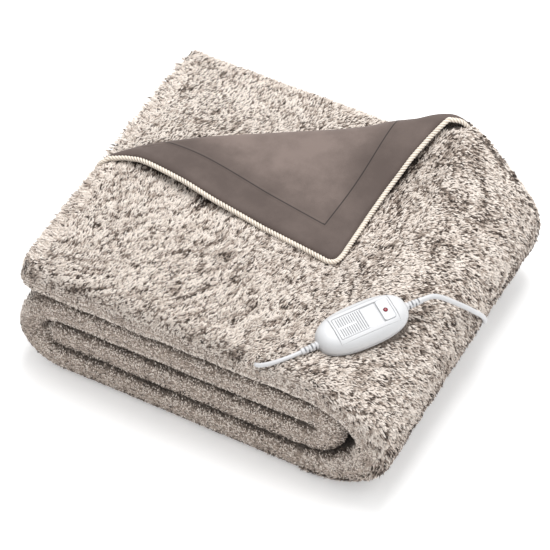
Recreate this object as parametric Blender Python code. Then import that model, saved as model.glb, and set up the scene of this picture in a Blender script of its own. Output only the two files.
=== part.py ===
"""Heated throw, folded for the shelf, with its slide controller, its leads and its plug.

Metres, +Z up. X runs along the front of the stack, Y from front to back. The origin is under the
middle of the folded blanket, on the surface it lies on.

The throw is folded twice. First its width is folded in three, like a letter: the top panel (T) and
the bottom panel (B) meet in a fold at the front, B and the middle panel (M) in a fold at the back.
Then the long strip is folded in four layers, rolled inwards: top layer, big right fold, bottom
layer, left fold, second layer, small right fold, third layer. T is always on the outside of the
strip. The back left corner of the top T is turned over, so its lining and piping show.
"""
import math

import bmesh
import bpy
import numpy as np
from mathutils import Matrix, Vector

# ---------------------------------------------------------------- driving dimensions: the cloth
SHEET = 0.0126            # fur pile, heating layer and lining together
SHEET_GAP = 0.0011        # air between two panels of the letter fold
LAYER_GAP = 0.0020        # air between two layers of the stack
DEPTH = 0.4250            # front fold to back fold
STACK_LEFT = -0.2355      # end of the top layer

SHEET_PITCH = SHEET + SHEET_GAP
BUNDLE = 2 * SHEET_PITCH + SHEET
LAYER_PITCH = BUNDLE + LAYER_GAP
LAYER_Z = [BUNDLE / 2 + LAYER_PITCH * k for k in range(4)]   # bottom, third, second, top

BIG_FOLD_X = 0.1385       # where the top layer starts to bend down
BIG_FOLD_REACH = 0.0850   # half width of the big fold's middle line
LEFT_FOLD_X = -0.1840
LEFT_FOLD_REACH = 0.0440   # half width of the left fold's middle line
SMALL_FOLD_X = 0.1480
INNER_END_X = -0.2030     # end of the strip, held inside the left fold

FRONT_FOLD_Y = -DEPTH / 2 + BUNDLE / 2
BACK_FOLD_Y = DEPTH / 2 - (SHEET_PITCH + SHEET) / 2
HEM_Y = DEPTH / 2 - 0.0056          # free long edge of T, at the back
INNER_HEM_Y = FRONT_FOLD_Y + 0.001  # free long edge of M, inside the front fold
NEAR_HEM = 0.045                    # T bends more along this stretch

END_PINCH = 0.62          # how far the hem at a strip end is pressed together
PINCH_LENGTH = 0.024
PUFF = 0.0012             # unevenness of the lofty outer pile
PANEL_RISE = 0.0090       # how far M puffs up where T is turned away from it
PANEL_RISE_OVER = 0.040   # distance from the fold line over which it does
T_RAISED = (
    # x, y, height, spread before and past x: held up by the end of the roll and under the controller
    (0.1380, 0.2050, 0.0460, 0.075, 0.056),
    (0.1960, -0.0700, 0.0090, 0.055, 0.055),
)

# ---------------------------------------------------------------- the turned-over corner
ROLL_LEFT = (-0.2360, -0.0060)
ROLL_RIGHT = (0.1350, 0.1994)
FOLD_DIP = 0.0150         # how far the fold line drops to the front at its left end
FOLD_DIP_OVER = 0.140
HEM_RETURN = 0.020        # T's hem comes back to its own line over about this length
CORNER_EDGE = ((0.010, 0.0065), (0.045, 0.0205), (0.100, 0.0645), (0.270, 0.1815), (0.3117, 0.1078),
               (0.360, 0.0340), (0.385, 0.0150), (0.424, 0.0070))
CORNER_ROUND = 0.0070
CORNER_RUNS = ((0.010, 1), (0.055, 3), (0.235, 6), (0.288, 8), (0.352, 3), (0.412, 6), (0.424, 1))
EDGE_RAISE = ((0.010, 0.0010), (0.045, 0.0085), (0.100, 0.0085), (0.190, 0.0), (0.424, 0.0))
ROLL_RADIUS = ((0.010, 0.0050), (0.060, 0.0072), (0.120, 0.0100), (0.240, 0.0125), (0.337, 0.0140),
               (0.350, 0.0135), (0.374, 0.0102), (0.399, 0.0068), (0.424, 0.0060))
ROLL_CLOTH = 0.0092
EDGE_CLOTH = 0.0056
CORNER_FULLNESS = ((0.010, 0.50), (0.060, 1.00), (0.390, 1.00), (0.424, 0.75))
REST_GAP = 0.0016         # between the corner and the pile it lies on
ROLL_FADE = 0.062         # how far from the fold line the roll still holds the corner up
LINING = 0.0018
LINING_GAP = 0.0008       # under the lining, which is quilted only at its seams
PIPING = 0.0050           # diameter of the twisted cord along every hem
PIPING_TO_CORNER = ((-0.2386, -0.0300, 0.1595), (-0.2366, -0.0285, 0.1660), (-0.2308, -0.0262, 0.1710))
PIPING_TO_HEM = ((0.1448, 0.1935, 0.2175), (0.1414, 0.2020, 0.2170), (0.1420, 0.2080, 0.2100),
                 (0.1490, 0.2098, 0.2030), (0.1580, 0.2098, 0.1990))

# ---------------------------------------------------------------- controller
# Its own frame: u along it towards the lamp, v across, w up from the middle of its underside.
CONTROLLER_AT = (0.1611, -0.1095, 0.1636)
CONTROLLER_AIM = 56.0     # degrees from +X, seen from above
CONTROLLER_TIPS = (8.0, 8.0)   # degrees down towards +X and towards -Y
BODY_HALF = (0.0570, 0.0270)
BODY_POWER = 2.6          # of the outline: 2 is an ellipse, more is squarer
PARTING = 0.0110          # height of the joint between base and cover
OUTSIDE = (
    # w, inset from the widest outline
    (0.0000, 0.0054), (0.0020, 0.0027), (0.0060, 0.0007), (PARTING, 0.0000), (0.0160, 0.0005),
    (0.0200, 0.0018), (0.0240, 0.0046), (0.0264, 0.0080), (0.0275, 0.0125), (0.0280, 0.0190),
)
WALL = 0.0022
GAP = 0.0003              # between two pieces that touch
CAVITY_TOP = 0.0206
TRACK = (-0.0340, 0.0220, 0.0140, 0.0228)      # from u, to u, half width, floor
SLIDER = (-0.0337, 0.0025, 0.0137, 0.0272)     # from u, to u, half width, top
TRAVEL = TRACK[1] - SLIDER[1] - 0.0005         # how far the slide moves towards the lamp
STEM = (-0.0260, -0.0200, 0.0025)              # from u, to u, half width
FOOT = (-0.0290, -0.0170, 0.0060)
RIB_PITCH = 0.0028
FULL_RIBS, SPLIT_RIBS = 4, 8
PANEL = (0.0220, 0.0363, 0.0137, 0.0265, 0.0281)   # from u, to u, half width, underside, top
LAMP_AT = (0.0285, -0.0010)
LAMP_RADIUS = 0.0025
RELIEF = (
    # u, radius: collar, neck in the wall, then outside with four grooves
    (0.0514, 0.0056), (0.0529, 0.0056), (0.0529, 0.0042), (0.0575, 0.0042), (0.0575, 0.0049),
    (0.0596, 0.0048), (0.0602, 0.0040), (0.0614, 0.0040), (0.0620, 0.0046),
    (0.0638, 0.0045), (0.0644, 0.0038), (0.0656, 0.0038), (0.0662, 0.0043),
    (0.0680, 0.0043), (0.0686, 0.0037), (0.0698, 0.0037), (0.0704, 0.0041),
    (0.0722, 0.0041), (0.0728, 0.0036), (0.0740, 0.0036), (0.0746, 0.0039), (0.0780, 0.0036),
)

# ---------------------------------------------------------------- leads
MAINS_LEAD = 0.0062       # diameter
MAINS_SPACING = 0.0150
MAINS_ROUTE = (
    # from the strain relief over the side of the stack, under its bulge, behind it to the coil
    (0.2064, -0.0461, 0.1774), (0.2092, -0.0420, 0.1776), (0.2145, -0.0350, 0.1770),
    (0.2215, -0.0275, 0.1715), (0.2285, -0.0180, 0.1605), (0.2348, -0.0070, 0.1465),
    (0.2402, 0.0040, 0.1325),
    (0.2450, 0.0150, 0.1175), (0.2483, 0.0259, 0.1030), (0.2487, 0.0385, 0.0850),
    (0.2474, 0.0480, 0.0690), (0.2430, 0.0580, 0.0545), (0.2350, 0.0690, 0.0400),
    (0.2240, 0.0810, 0.0268), (0.2110, 0.0950, 0.0150), (0.1990, 0.1120, 0.0068),
    (0.1930, 0.1330, 0.0036), (0.1910, 0.1600, 0.0033), (0.1910, 0.1900, 0.0033),
    (0.1890, 0.2200, 0.0033), (0.1810, 0.2500, 0.0033), (0.1670, 0.2760, 0.0033),
    (0.1470, 0.2930, 0.0034), (0.1300, 0.3000, 0.0048), (0.1161, 0.3010, 0.0062),
)
BLANKET_LEAD = 0.0052
BLANKET_SPACING = 0.0080
BLANKET_ROUTE = (
    (0.1189, -0.1759, 0.1714), (0.1167, -0.1792, 0.1712), (0.1111, -0.1870, 0.1706),
    (0.1035, -0.1962, 0.1697), (0.0962, -0.2030, 0.1680), (0.0880, -0.2078, 0.1654),
    (0.0806, -0.2092, 0.1626), (0.0730, -0.2070, 0.1595), (0.0680, -0.2025, 0.1568),
)
INLET = ((0.0760, -0.2085, 0.1610), (0.0662, -0.2005, 0.1557), 0.0033)   # from, to, radius
COIL_AT = (0.0850, 0.2680)
COIL_RADIUS = 0.0330      # middle of the turns
COIL_SECTION = (0.0098, 0.0064, 0.0067)   # half width, half height, height of its middle
TAIL_ROUTE = ((0.0544, 0.3010, 0.0058), (0.0400, 0.3012, 0.0040), (0.0200, 0.3012, 0.0050),
              (-0.0030, 0.3012, 0.0071))
PLUG_AT = (-0.0033, 0.3012, 0.0071)
PLUG = (
    # length from the lead, half width, half height, corner radius
    (0.0000, 0.0037, 0.0037, 0.0034), (0.0120, 0.0045, 0.0045, 0.0042), (0.0150, 0.0085, 0.0062, 0.0040),
    (0.0220, 0.0126, 0.0068, 0.0045), (0.0330, 0.0130, 0.0068, 0.0045), (0.0380, 0.0122, 0.0066, 0.0045),
)
PIN = (0.0020, 0.0190, 0.0093, 0.0050)    # radius, reach, half distance apart, depth in the body


def clear_scene():
    for thing in list(bpy.data.objects):
        bpy.data.objects.remove(thing)


def material(name, colour, roughness, metallic=0.0):
    """A plain finish: base colour, roughness and metallic value."""
    made = bpy.data.materials.new(name)
    made.use_nodes = True
    shader = made.node_tree.nodes["Principled BSDF"]
    shader.inputs["Base Color"].default_value = (*colour, 1.0)
    shader.inputs["Roughness"].default_value = roughness
    shader.inputs["Metallic"].default_value = metallic
    return made


def mesh_object(name, points, faces, finish, smooth=40.0):
    """Makes an object from points and faces, turns its faces outwards and shades it."""
    work = bmesh.new()
    verts = [work.verts.new(tuple(map(float, p))) for p in points]
    for face in faces:
        work.faces.new([verts[i] for i in face])
    bmesh.ops.remove_doubles(work, verts=work.verts, dist=1e-7)
    bmesh.ops.recalc_face_normals(work, faces=work.faces)
    mesh = bpy.data.meshes.new(name)
    work.to_mesh(mesh)
    work.free()
    mesh.shade_smooth()
    mesh.set_sharp_from_angle(angle=math.radians(smooth))
    made = bpy.data.objects.new(name, mesh)
    bpy.context.collection.objects.link(made)
    if finish is not None:
        made.data.materials.append(finish)
    return made


def lofted(name, rings, finish, smooth=40.0):
    """Skins a row of closed rings, each with as many points, and caps both ends."""
    count = len(rings[0])
    points = np.concatenate(rings)
    faces = []
    for i in range(len(rings) - 1):
        for k in range(count):
            nxt = (k + 1) % count
            faces.append((i * count + k, i * count + nxt, (i + 1) * count + nxt, (i + 1) * count + k))
    faces.append(tuple(range(count)))
    faces.append(tuple(range(len(points) - count, len(points))))
    return mesh_object(name, points, faces, finish, smooth)


def as_cutter(thing):
    thing.hide_render = True
    thing.display_type = "WIRE"
    return thing


def boolean(target, other, operation):
    step = target.modifiers.new(operation.lower() + "_" + other.name, "BOOLEAN")
    step.operation = operation
    step.solver = "EXACT"
    step.object = other


def arc(centre, radius, start, end, steps):
    """Points of an arc in a plane, angles in degrees, the first left out."""
    angles = np.radians(np.linspace(start, end, steps + 1)[1:])
    return [(centre[0] + radius * math.cos(a), centre[1] + radius * math.sin(a)) for a in angles]


def smooth_curve(route, spacing):
    """Even points along a Catmull-Rom curve through the route's points."""
    knots = np.array(route, float)
    padded = np.vstack([2 * knots[0] - knots[1], knots, 2 * knots[-1] - knots[-2]])
    t = np.linspace(0, 1, 41)[:, None]
    fine = [knots[:1]]
    for a, b, c, d in zip(padded, padded[1:], padded[2:], padded[3:]):
        piece = 0.5 * (2 * b + (c - a) * t + (2 * a - 5 * b + 4 * c - d) * t ** 2
                       + (3 * b - a - 3 * c + d) * t ** 3)
        fine.append(piece[1:])
    fine = np.concatenate(fine)
    run = np.concatenate([[0], np.cumsum(np.linalg.norm(np.diff(fine, axis=0), axis=1))])
    count = max(2, round(run[-1] / spacing) + 1)
    marks = np.linspace(0, run[-1], count)
    return np.stack([np.interp(marks, run, fine[:, k]) for k in range(3)], axis=1)


def tube(name, points, diameter, finish, resolution=2):
    """A round cord along the points, with closed ends."""
    curve = bpy.data.curves.new(name, "CURVE")
    curve.dimensions = "3D"
    curve.bevel_depth = diameter / 2
    curve.bevel_resolution = resolution
    curve.use_fill_caps = True
    spline = curve.splines.new("POLY")
    spline.points.add(len(points) - 1)
    spline.points.foreach_set("co", np.column_stack([points, np.ones(len(points))]).ravel())
    made = bpy.data.objects.new(name, curve)
    bpy.context.collection.objects.link(made)
    made.data.materials.append(finish)
    return made


# ---------------------------------------------------------------- the folded strip
def strip_stations():
    """Middle line of the strip: rows of x, z, outward x, outward z, run, thickness, puff, sway, free.

    The table gives each stretch: its kind, its end or centre, the number of steps, how thick the
    bundle is in the middle of a fold, how much of the pile's unevenness shows there, how far its
    front edge lies behind the foremost one, and 1 where its panels can rise freely.
    """
    bottom, third, second, top = LAYER_Z
    mid = (top + bottom) / 2
    roll_x = ROLL_RIGHT[0]
    table = (
        # kind, x or centre x, centre z, reach x, reach z, steps, thickness, puff, sway, free
        ("end", STACK_LEFT, top, 0, 0, 4, 1.0, 1.0, 0.0, 1),
        ("line", roll_x - 0.105, top, 0, 0, 4, 1.0, 1.0, 0.0, 1),
        ("line", roll_x, top, 0, 0, 5, 1.0, 1.0, 0.0, 1),
        ("line", BIG_FOLD_X, top, 0, 0, 1, 1.0, 1.0, 0.0, 1),
        ("fold", BIG_FOLD_X, mid, BIG_FOLD_REACH, (top - bottom) / 2, 11, 1.08, 0.6, 0.0010, 1),
        ("line", LEFT_FOLD_X, bottom, 0, 0, 4, 1.0, 0.0, 0.0020, 0),
        ("fold", LEFT_FOLD_X, (bottom + second) / 2, -LEFT_FOLD_REACH, -LAYER_PITCH, 9, 0.86, 0.6,
         0.0005, 0),
        ("line", SMALL_FOLD_X, second, 0, 0, 5, 1.0, 0.0, 0.0030, 0),
        ("fold", SMALL_FOLD_X, (second + third) / 2, LAYER_PITCH / 2, LAYER_PITCH / 2, 7, 0.94, 0.0,
         0.0040, 0),
        ("line", INNER_END_X + PINCH_LENGTH, third, 0, 0, 4, 1.0, 0.0, 0.0025, 0),
        ("end", INNER_END_X, third, 0, 0, 4, 1.0, 0.0, 0.0015, 0),
    )
    pinch_steps = PINCH_LENGTH * np.array([0.0, 0.10, 0.30, 0.60, 1.0])
    rows = []
    for kind, x, z, reach_x, reach_z, steps, thickness, puff, sway, free in table:
        if kind == "end" and not rows:
            rows += [(STACK_LEFT + u, z, 0.0, 1.0, 1.0, puff, sway, free) for u in pinch_steps]
        elif kind == "end":
            rows += [(x + u, z, 0.0, -1.0, 1.0, puff, sway, free) for u in pinch_steps[::-1][1:]]
        elif kind == "line":
            start = rows[-1]
            rows += [(start[0] + (x - start[0]) * k / steps, z, 0.0, start[3], 1.0, puff, sway, free)
                     for k in range(1, steps + 1)]
        else:
            for k in range(1, steps + 1):
                turn = math.pi / 2 - math.pi * k / steps
                c, s = math.cos(turn), math.sin(turn)
                out = Vector((c / reach_x, s / reach_z)).normalized()
                full = 1 + (thickness - 1) * c
                rows.append((x + reach_x * c, z + reach_z * s, out.x, out.y, full, puff, sway, free))
    rows = np.array(rows)
    run = np.concatenate([[0], np.cumsum(np.hypot(np.diff(rows[:, 0]), np.diff(rows[:, 1])))])
    return np.column_stack([rows[:, :4], run, rows[:, 4:]])


def pinch(run, total):
    """1 along the strip, falling to END_PINCH at both ends in a quarter of an ellipse."""
    near = min(run, total - run) / PINCH_LENGTH
    if near >= 1:
        return 1.0
    return END_PINCH + (1 - END_PINCH) * math.sqrt(max(0.0, 1 - (1 - near) ** 2))


def lift(x, y):
    """How far T is raised above its layer."""
    return sum(height * math.exp(-((x - at_x) / (before if x < at_x else past)) ** 2
                                 - ((y - at_y) / before) ** 2)
               for at_x, at_y, height, before, past in T_RAISED)


def smoothstep(value):
    t = min(1.0, max(0.0, value))
    return t * t * (3 - 2 * t)


def settle(x, y, z):
    """The slight crown and sway of a soft stack, nothing at the surface it lies on."""
    height = z / LAYER_Z[3]
    crown = 0.0022 * (math.cos(math.pi * y / DEPTH) - 0.6)
    wave = 0.0012 * math.sin(2 * math.pi * x / 0.42 + 0.9)
    bow = 0.0016 * math.sin(2 * math.pi * x / 0.38 + 3.0 * height) * 2 * y / DEPTH
    return x, y + bow * height * (1.2 - height), z + (crown + wave) * height


def fold_dip(x):
    """The fold line runs straight but for its left end, which drops to the front."""
    along = max(0.0, 1 - (x - ROLL_LEFT[0]) / FOLD_DIP_OVER)
    return FOLD_DIP * along * along


def top_hem_y(x, z):
    """Where T ends at the back: on the top layer it stops at the fold of the turned corner."""
    if z < LAYER_Z[3] - 1e-6:
        return HEM_Y
    if x > ROLL_RIGHT[0]:
        return HEM_Y - (HEM_Y - ROLL_RIGHT[1]) * math.exp(-((x - ROLL_RIGHT[0]) / HEM_RETURN) ** 2)
    share = (x - ROLL_LEFT[0]) / (ROLL_RIGHT[0] - ROLL_LEFT[0])
    return ROLL_LEFT[1] + share * (ROLL_RIGHT[1] - ROLL_LEFT[1]) - fold_dip(x)


def letter_section(hem_y):
    """The letter fold's closed outline: rows of y, height off the middle, share of T, of M, of pile."""
    half = SHEET / 2
    front, back = (FRONT_FOLD_Y, 0.0), (BACK_FOLD_Y, -SHEET_PITCH / 2)
    raised = [min(hem_y + PANEL_RISE_OVER * share, BACK_FOLD_Y - 0.004 * (2 - share)) - 0.001
              for share in (1.0, 0.5, 0.0)]
    rows = []

    def straight(y_from, y_to, height, steps, on_t=0, on_m=0, pile=0):
        for y in np.linspace(y_from, y_to, steps + 1)[1:]:
            rows.append((y, height, on_t, on_m, pile))

    def bend(centre, radius, start, end, steps, on_t=0, on_m=(0, 0)):
        for k, (y, height) in enumerate(arc(centre, radius, start, end, steps), 1):
            rows.append((y, height, on_t, on_m[0] + (on_m[1] - on_m[0]) * smoothstep(k / steps), 0))

    straight(hem_y - half, hem_y - NEAR_HEM, SHEET_PITCH + half, 2, on_t=1, pile=1)
    straight(hem_y - NEAR_HEM, FRONT_FOLD_Y, SHEET_PITCH + half, 6, on_t=1, pile=1)
    bend(front, SHEET_PITCH + half, 90, 270, 7)
    straight(FRONT_FOLD_Y, BACK_FOLD_Y, -SHEET_PITCH - half, 4)
    bend(back, (SHEET_PITCH + SHEET) / 2, -90, 90, 5, on_m=(0, 1))
    straight(BACK_FOLD_Y, raised[0], half, 2, on_m=1)
    straight(raised[0], raised[1], half, 1, on_m=1)
    straight(raised[1], raised[2], half, 1, on_m=1)
    straight(raised[2], INNER_HEM_Y, half, 3, on_m=1)
    bend((INNER_HEM_Y, 0.0), half, 90, 270, 3)
    straight(INNER_HEM_Y, raised[2], -half, 3, on_m=1)
    straight(raised[2], raised[1], -half, 1, on_m=1)
    straight(raised[1], raised[0], -half, 1, on_m=1)
    straight(raised[0], BACK_FOLD_Y, -half, 1, on_m=1)
    bend(back, SHEET_GAP / 2, 90, -90, 2, on_m=(1, 0))
    straight(BACK_FOLD_Y, FRONT_FOLD_Y, -SHEET_PITCH + half, 3)
    bend(front, SHEET_PITCH - half, 270, 90, 3)
    straight(FRONT_FOLD_Y, hem_y - NEAR_HEM, SHEET_PITCH - half, 4, on_t=1)
    straight(hem_y - NEAR_HEM, hem_y - half, SHEET_PITCH - half, 2, on_t=1)
    bend((hem_y - half, SHEET_PITCH), half, -90, 90, 4, on_t=1)
    return rows


def strip_point(station, row, total, hem_y):
    """A row of the section at a station of the strip, as a point in space."""
    x, z, out_x, out_z, run, thickness, puff, sway, free = station
    y, height, on_t, on_m, pile = row
    squeeze = pinch(run, total)
    if pile:
        wave = math.sin(2 * math.pi * run / 0.171 + 9 * y) * math.cos(2 * math.pi * y / 0.230 + 5 * run)
        above_floor = smoothstep((z + out_z * height) / 0.050)
        height += PUFF * puff * wave * above_floor
    near_front = max(0.0, (FRONT_FOLD_Y + 0.06 - y) / 0.08)
    y += near_front * (sway + 0.008 * (1 - squeeze) / (1 - END_PINCH))
    height *= squeeze * thickness
    x, z = x + out_x * height, z + out_z * height
    if free and out_z > 0:
        z += out_z * (on_t * lift(x, y) + on_m * PANEL_RISE * smoothstep((y - hem_y) / PANEL_RISE_OVER))
    return x, y, z


def make_strip(finish):
    stations = strip_stations()
    total = stations[-1][4]
    rings = []
    for station in stations:
        hem_y = top_hem_y(station[0], station[1])
        rows = letter_section(hem_y)
        rings.append(np.array([settle(*strip_point(station, row, total, hem_y)) for row in rows]))
    return lofted("blanket_cloth", rings, finish, smooth=60)


# ---------------------------------------------------------------- the turned corner
def corner_frame():
    """Start of the fold line, the direction along it and the direction over the blanket."""
    start = Vector(ROLL_LEFT)
    along = (Vector(ROLL_RIGHT) - start).normalized()
    return start, along, Vector((along.y, -along.x))


def corner_outline():
    """Stations along the fold line and how far the corner reaches from it at each, rounded."""
    runs = np.concatenate([np.linspace(a, b, steps + 1)[1:]
                           for (a, _), (b, steps) in zip(CORNER_RUNS, CORNER_RUNS[1:])])
    runs = np.concatenate([[CORNER_RUNS[0][0]], runs])
    around = CORNER_ROUND * np.linspace(-1, 1, 9)
    near = np.interp(runs[:, None] + around, *zip(*CORNER_EDGE))
    near += np.minimum(0, runs[:, None] + around - CORNER_EDGE[0][0]) * 0.65
    return runs, near.mean(axis=1)


def corner_section(run, reach):
    """Middle line of the turned cloth at a station: rows of q, z and thickness, root to edge.

    q is the distance from the fold line over the blanket. The line leaves T at its middle, goes
    round the roll and comes down onto the pile; the roll's height fades out over ROLL_FADE.
    """
    start, along, across = corner_frame()
    radius = float(np.interp(run, *zip(*ROLL_RADIUS)))
    raised = float(np.interp(run, *zip(*EDGE_RAISE)))
    full = float(np.interp(run, *zip(*CORNER_FULLNESS)))
    foot = start + along * run
    middle = LAYER_Z[3] + SHEET_PITCH + lift(foot.x, foot.y)
    rows = [(0.015, middle, SHEET - 0.0016), (0.005, middle, SHEET - 0.0020)]
    for turn in np.linspace(-90, 90, 6):
        a = math.radians(turn)
        rows.append((-radius * math.cos(a), middle + radius + radius * math.sin(a), ROLL_CLOTH * full))
    for share in (0.10, 0.25, 0.43, 0.62, 0.82, 1.0):
        q = reach * share
        here = foot + across * q
        cloth = full * (ROLL_CLOTH + (EDGE_CLOTH - ROLL_CLOTH) * share ** 2)
        rest = LAYER_Z[3] + SHEET_PITCH + SHEET / 2 + lift(here.x, here.y) + REST_GAP + cloth / 2
        crest = middle + 2 * radius
        fade = math.exp(-(q / ROLL_FADE) ** 2)
        rows.append((q, rest + max(0.0, crest - rest) * fade + raised * share, cloth))
    return rows


def section_normals(rows):
    """Unit normals of a middle line in its own plane, on the lining's side."""
    line = np.array([(q, z) for q, z, _ in rows])
    slope = np.gradient(line, axis=0)
    slope /= np.linalg.norm(slope, axis=1)[:, None]
    return line, np.column_stack([-slope[:, 1], slope[:, 0]])


def corner_space(run, q, z):
    start, along, across = corner_frame()
    foot = start + along * run
    place = foot + across * q
    return settle(place.x, place.y - fold_dip(foot.x), z)


def make_corner():
    """The turned corner's fur cloth, joined to T inside its root."""
    rings = []
    for run, reach in zip(*corner_outline()):
        rows = corner_section(run, reach)
        line, normal = section_normals(rows)
        half = np.array([cloth / 2 for _, _, cloth in rows])[:, None]
        outer, inner = line + normal * half, line - normal * half
        edge, side = line[-1], normal[-1]
        ahead = np.array([side[1], -side[0]])
        ahead *= math.copysign(1.0, ahead[0])
        nose = [edge + half[-1] * (side * math.cos(a) + ahead * math.sin(a))
                for a in np.radians([45, 90, 135])]
        ring = np.vstack([outer, nose, inner[::-1]])
        rings.append(np.array([corner_space(run, q, z) for q, z in ring]))
    return as_cutter(lofted("corner_cloth", rings, None))


def make_lining(finish):
    """The lining on the turned corner and round its roll, as far as it shows."""
    rings = []
    for run, reach in zip(*corner_outline()):
        rows = corner_section(run, reach)
        line, normal = section_normals(rows)
        half = np.array([cloth / 2 for _, _, cloth in rows])[:, None]
        below = (line + normal * (half + LINING_GAP))[3:]
        above = (line + normal * (half + LINING_GAP + LINING))[3:]
        ring = np.vstack([above, below[::-1]])
        rings.append(np.array([corner_space(run, q, z) for q, z in ring]))
    return lofted("underside_lining", rings, finish, smooth=50)


def make_piping(finish):
    """The twisted cord in the hem: up the strip's end, round the turned corner, along the back hem."""
    stations = strip_stations()
    total = stations[-1][4]
    beside = PIPING / 2 + GAP
    end_x = STACK_LEFT - beside
    top = LAYER_Z[3]
    row = SHEET_PITCH * END_PINCH

    points = [(end_x, y, top) for y in np.linspace(INNER_HEM_Y, BACK_FOLD_Y, 7)]
    points += [(end_x, y, z) for y, z in arc((BACK_FOLD_Y, top - row / 2), row / 2, 90, -90, 4)]
    points += [(end_x, y, top - row) for y in np.linspace(BACK_FOLD_Y, FRONT_FOLD_Y + 0.006, 7)[1:]]
    points += [(end_x, y, z) for y, z in arc((FRONT_FOLD_Y + 0.006, top), row, 270, 90, 6)]
    points += [(end_x, y, top + row) for y in np.linspace(FRONT_FOLD_Y + 0.006, -0.032, 5)[1:]]
    points = [settle(*p) for p in points] + list(PIPING_TO_CORNER)

    runs, reaches = corner_outline()
    edge = np.column_stack([runs, reaches])
    levels = [corner_section(run, reach)[-1][1] for run, reach in edge]
    slope = np.gradient(edge, axis=0)
    slope /= np.linalg.norm(slope, axis=1)[:, None]
    rim = edge + np.column_stack([-slope[:, 1], slope[:, 0]]) * (EDGE_CLOTH / 2 + beside)
    points += [corner_space(run, q, z) for (run, q), z in zip(rim, levels)]
    points += list(PIPING_TO_HEM)

    hem = (HEM_Y + beside, SHEET_PITCH, 1, 0, 0)
    for station in stations:
        covered = station[1] >= top - 1e-6 and station[0] < PIPING_TO_HEM[-1][0] + 0.004
        if not covered and station[4] < total - 0.99 * PINCH_LENGTH:
            points.append(settle(*strip_point(station, hem, total, HEM_Y)))
    return tube("piping", np.array(points), PIPING, finish, resolution=1)


# ---------------------------------------------------------------- the controller
def controller_place():
    """An empty in the controller's frame: u along it, v across, w away from the cloth."""
    tip_x, tip_y = (math.tan(math.radians(tip)) for tip in CONTROLLER_TIPS)
    up = Vector((tip_x, -tip_y, 1.0)).normalized()
    aim = math.radians(CONTROLLER_AIM)
    ahead = Vector((math.cos(aim), math.sin(aim), 0.0))
    ahead.z = -(up.x * ahead.x + up.y * ahead.y) / up.z
    ahead.normalize()
    frame = Matrix((ahead, up.cross(ahead), up)).transposed()
    place = bpy.data.objects.new("controller_place", None)
    bpy.context.collection.objects.link(place)
    place.location = CONTROLLER_AT
    place.rotation_euler = frame.to_euler()
    return place


def outline_ring(inset, w, count=32):
    """A ring of the body's outline, drawn in by the inset, at height w."""
    angles = 2 * math.pi * np.arange(count) / count
    half_u, half_v = BODY_HALF[0] - inset, BODY_HALF[1] - inset
    c, s = np.cos(angles), np.sin(angles)
    return np.column_stack([half_u * np.sign(c) * np.abs(c) ** (2 / BODY_POWER),
                            half_v * np.sign(s) * np.abs(s) ** (2 / BODY_POWER), np.full(count, w)])


def outside_inset(w):
    return float(np.interp(w, *zip(*OUTSIDE)))


def rounded_ring(u_from, u_to, half_v, radius, w, steps=2):
    """A rectangle with rounded corners at height w."""
    ring = []
    for centre_u, centre_v, start in ((u_to - radius, half_v - radius, 0),
                                      (u_from + radius, half_v - radius, 90),
                                      (u_from + radius, radius - half_v, 180),
                                      (u_to - radius, radius - half_v, 270)):
        for a in np.radians(np.linspace(start, start + 90, steps + 1)):
            ring.append((centre_u + radius * math.cos(a), centre_v + radius * math.sin(a), w))
    return np.array(ring)


def round_rings(profile, centre_v, centre_w, sides, along_w=False, turn=1.0):
    """Rings of a turned piece from rows of length along its axis and radius."""
    angles = 2 * math.pi * (np.arange(sides) + 0.5) / sides
    rings = []
    for at, radius in profile:
        c, s = radius * np.cos(angles), radius * np.sin(angles)
        if along_w:
            rings.append(np.column_stack([centre_v + c, centre_w + s, np.full(sides, at)]))
        else:
            rings.append(np.column_stack([np.full(sides, turn * at), centre_v + c, centre_w + s]))
    return rings


def held(piece, place):
    piece.parent = place
    return piece


def block(name, u_from, u_to, half_v, w_from, w_to, radius=0.0004):
    return lofted(name, [rounded_ring(u_from, u_to, half_v, radius, w) for w in (w_from, w_to)], None)


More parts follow.
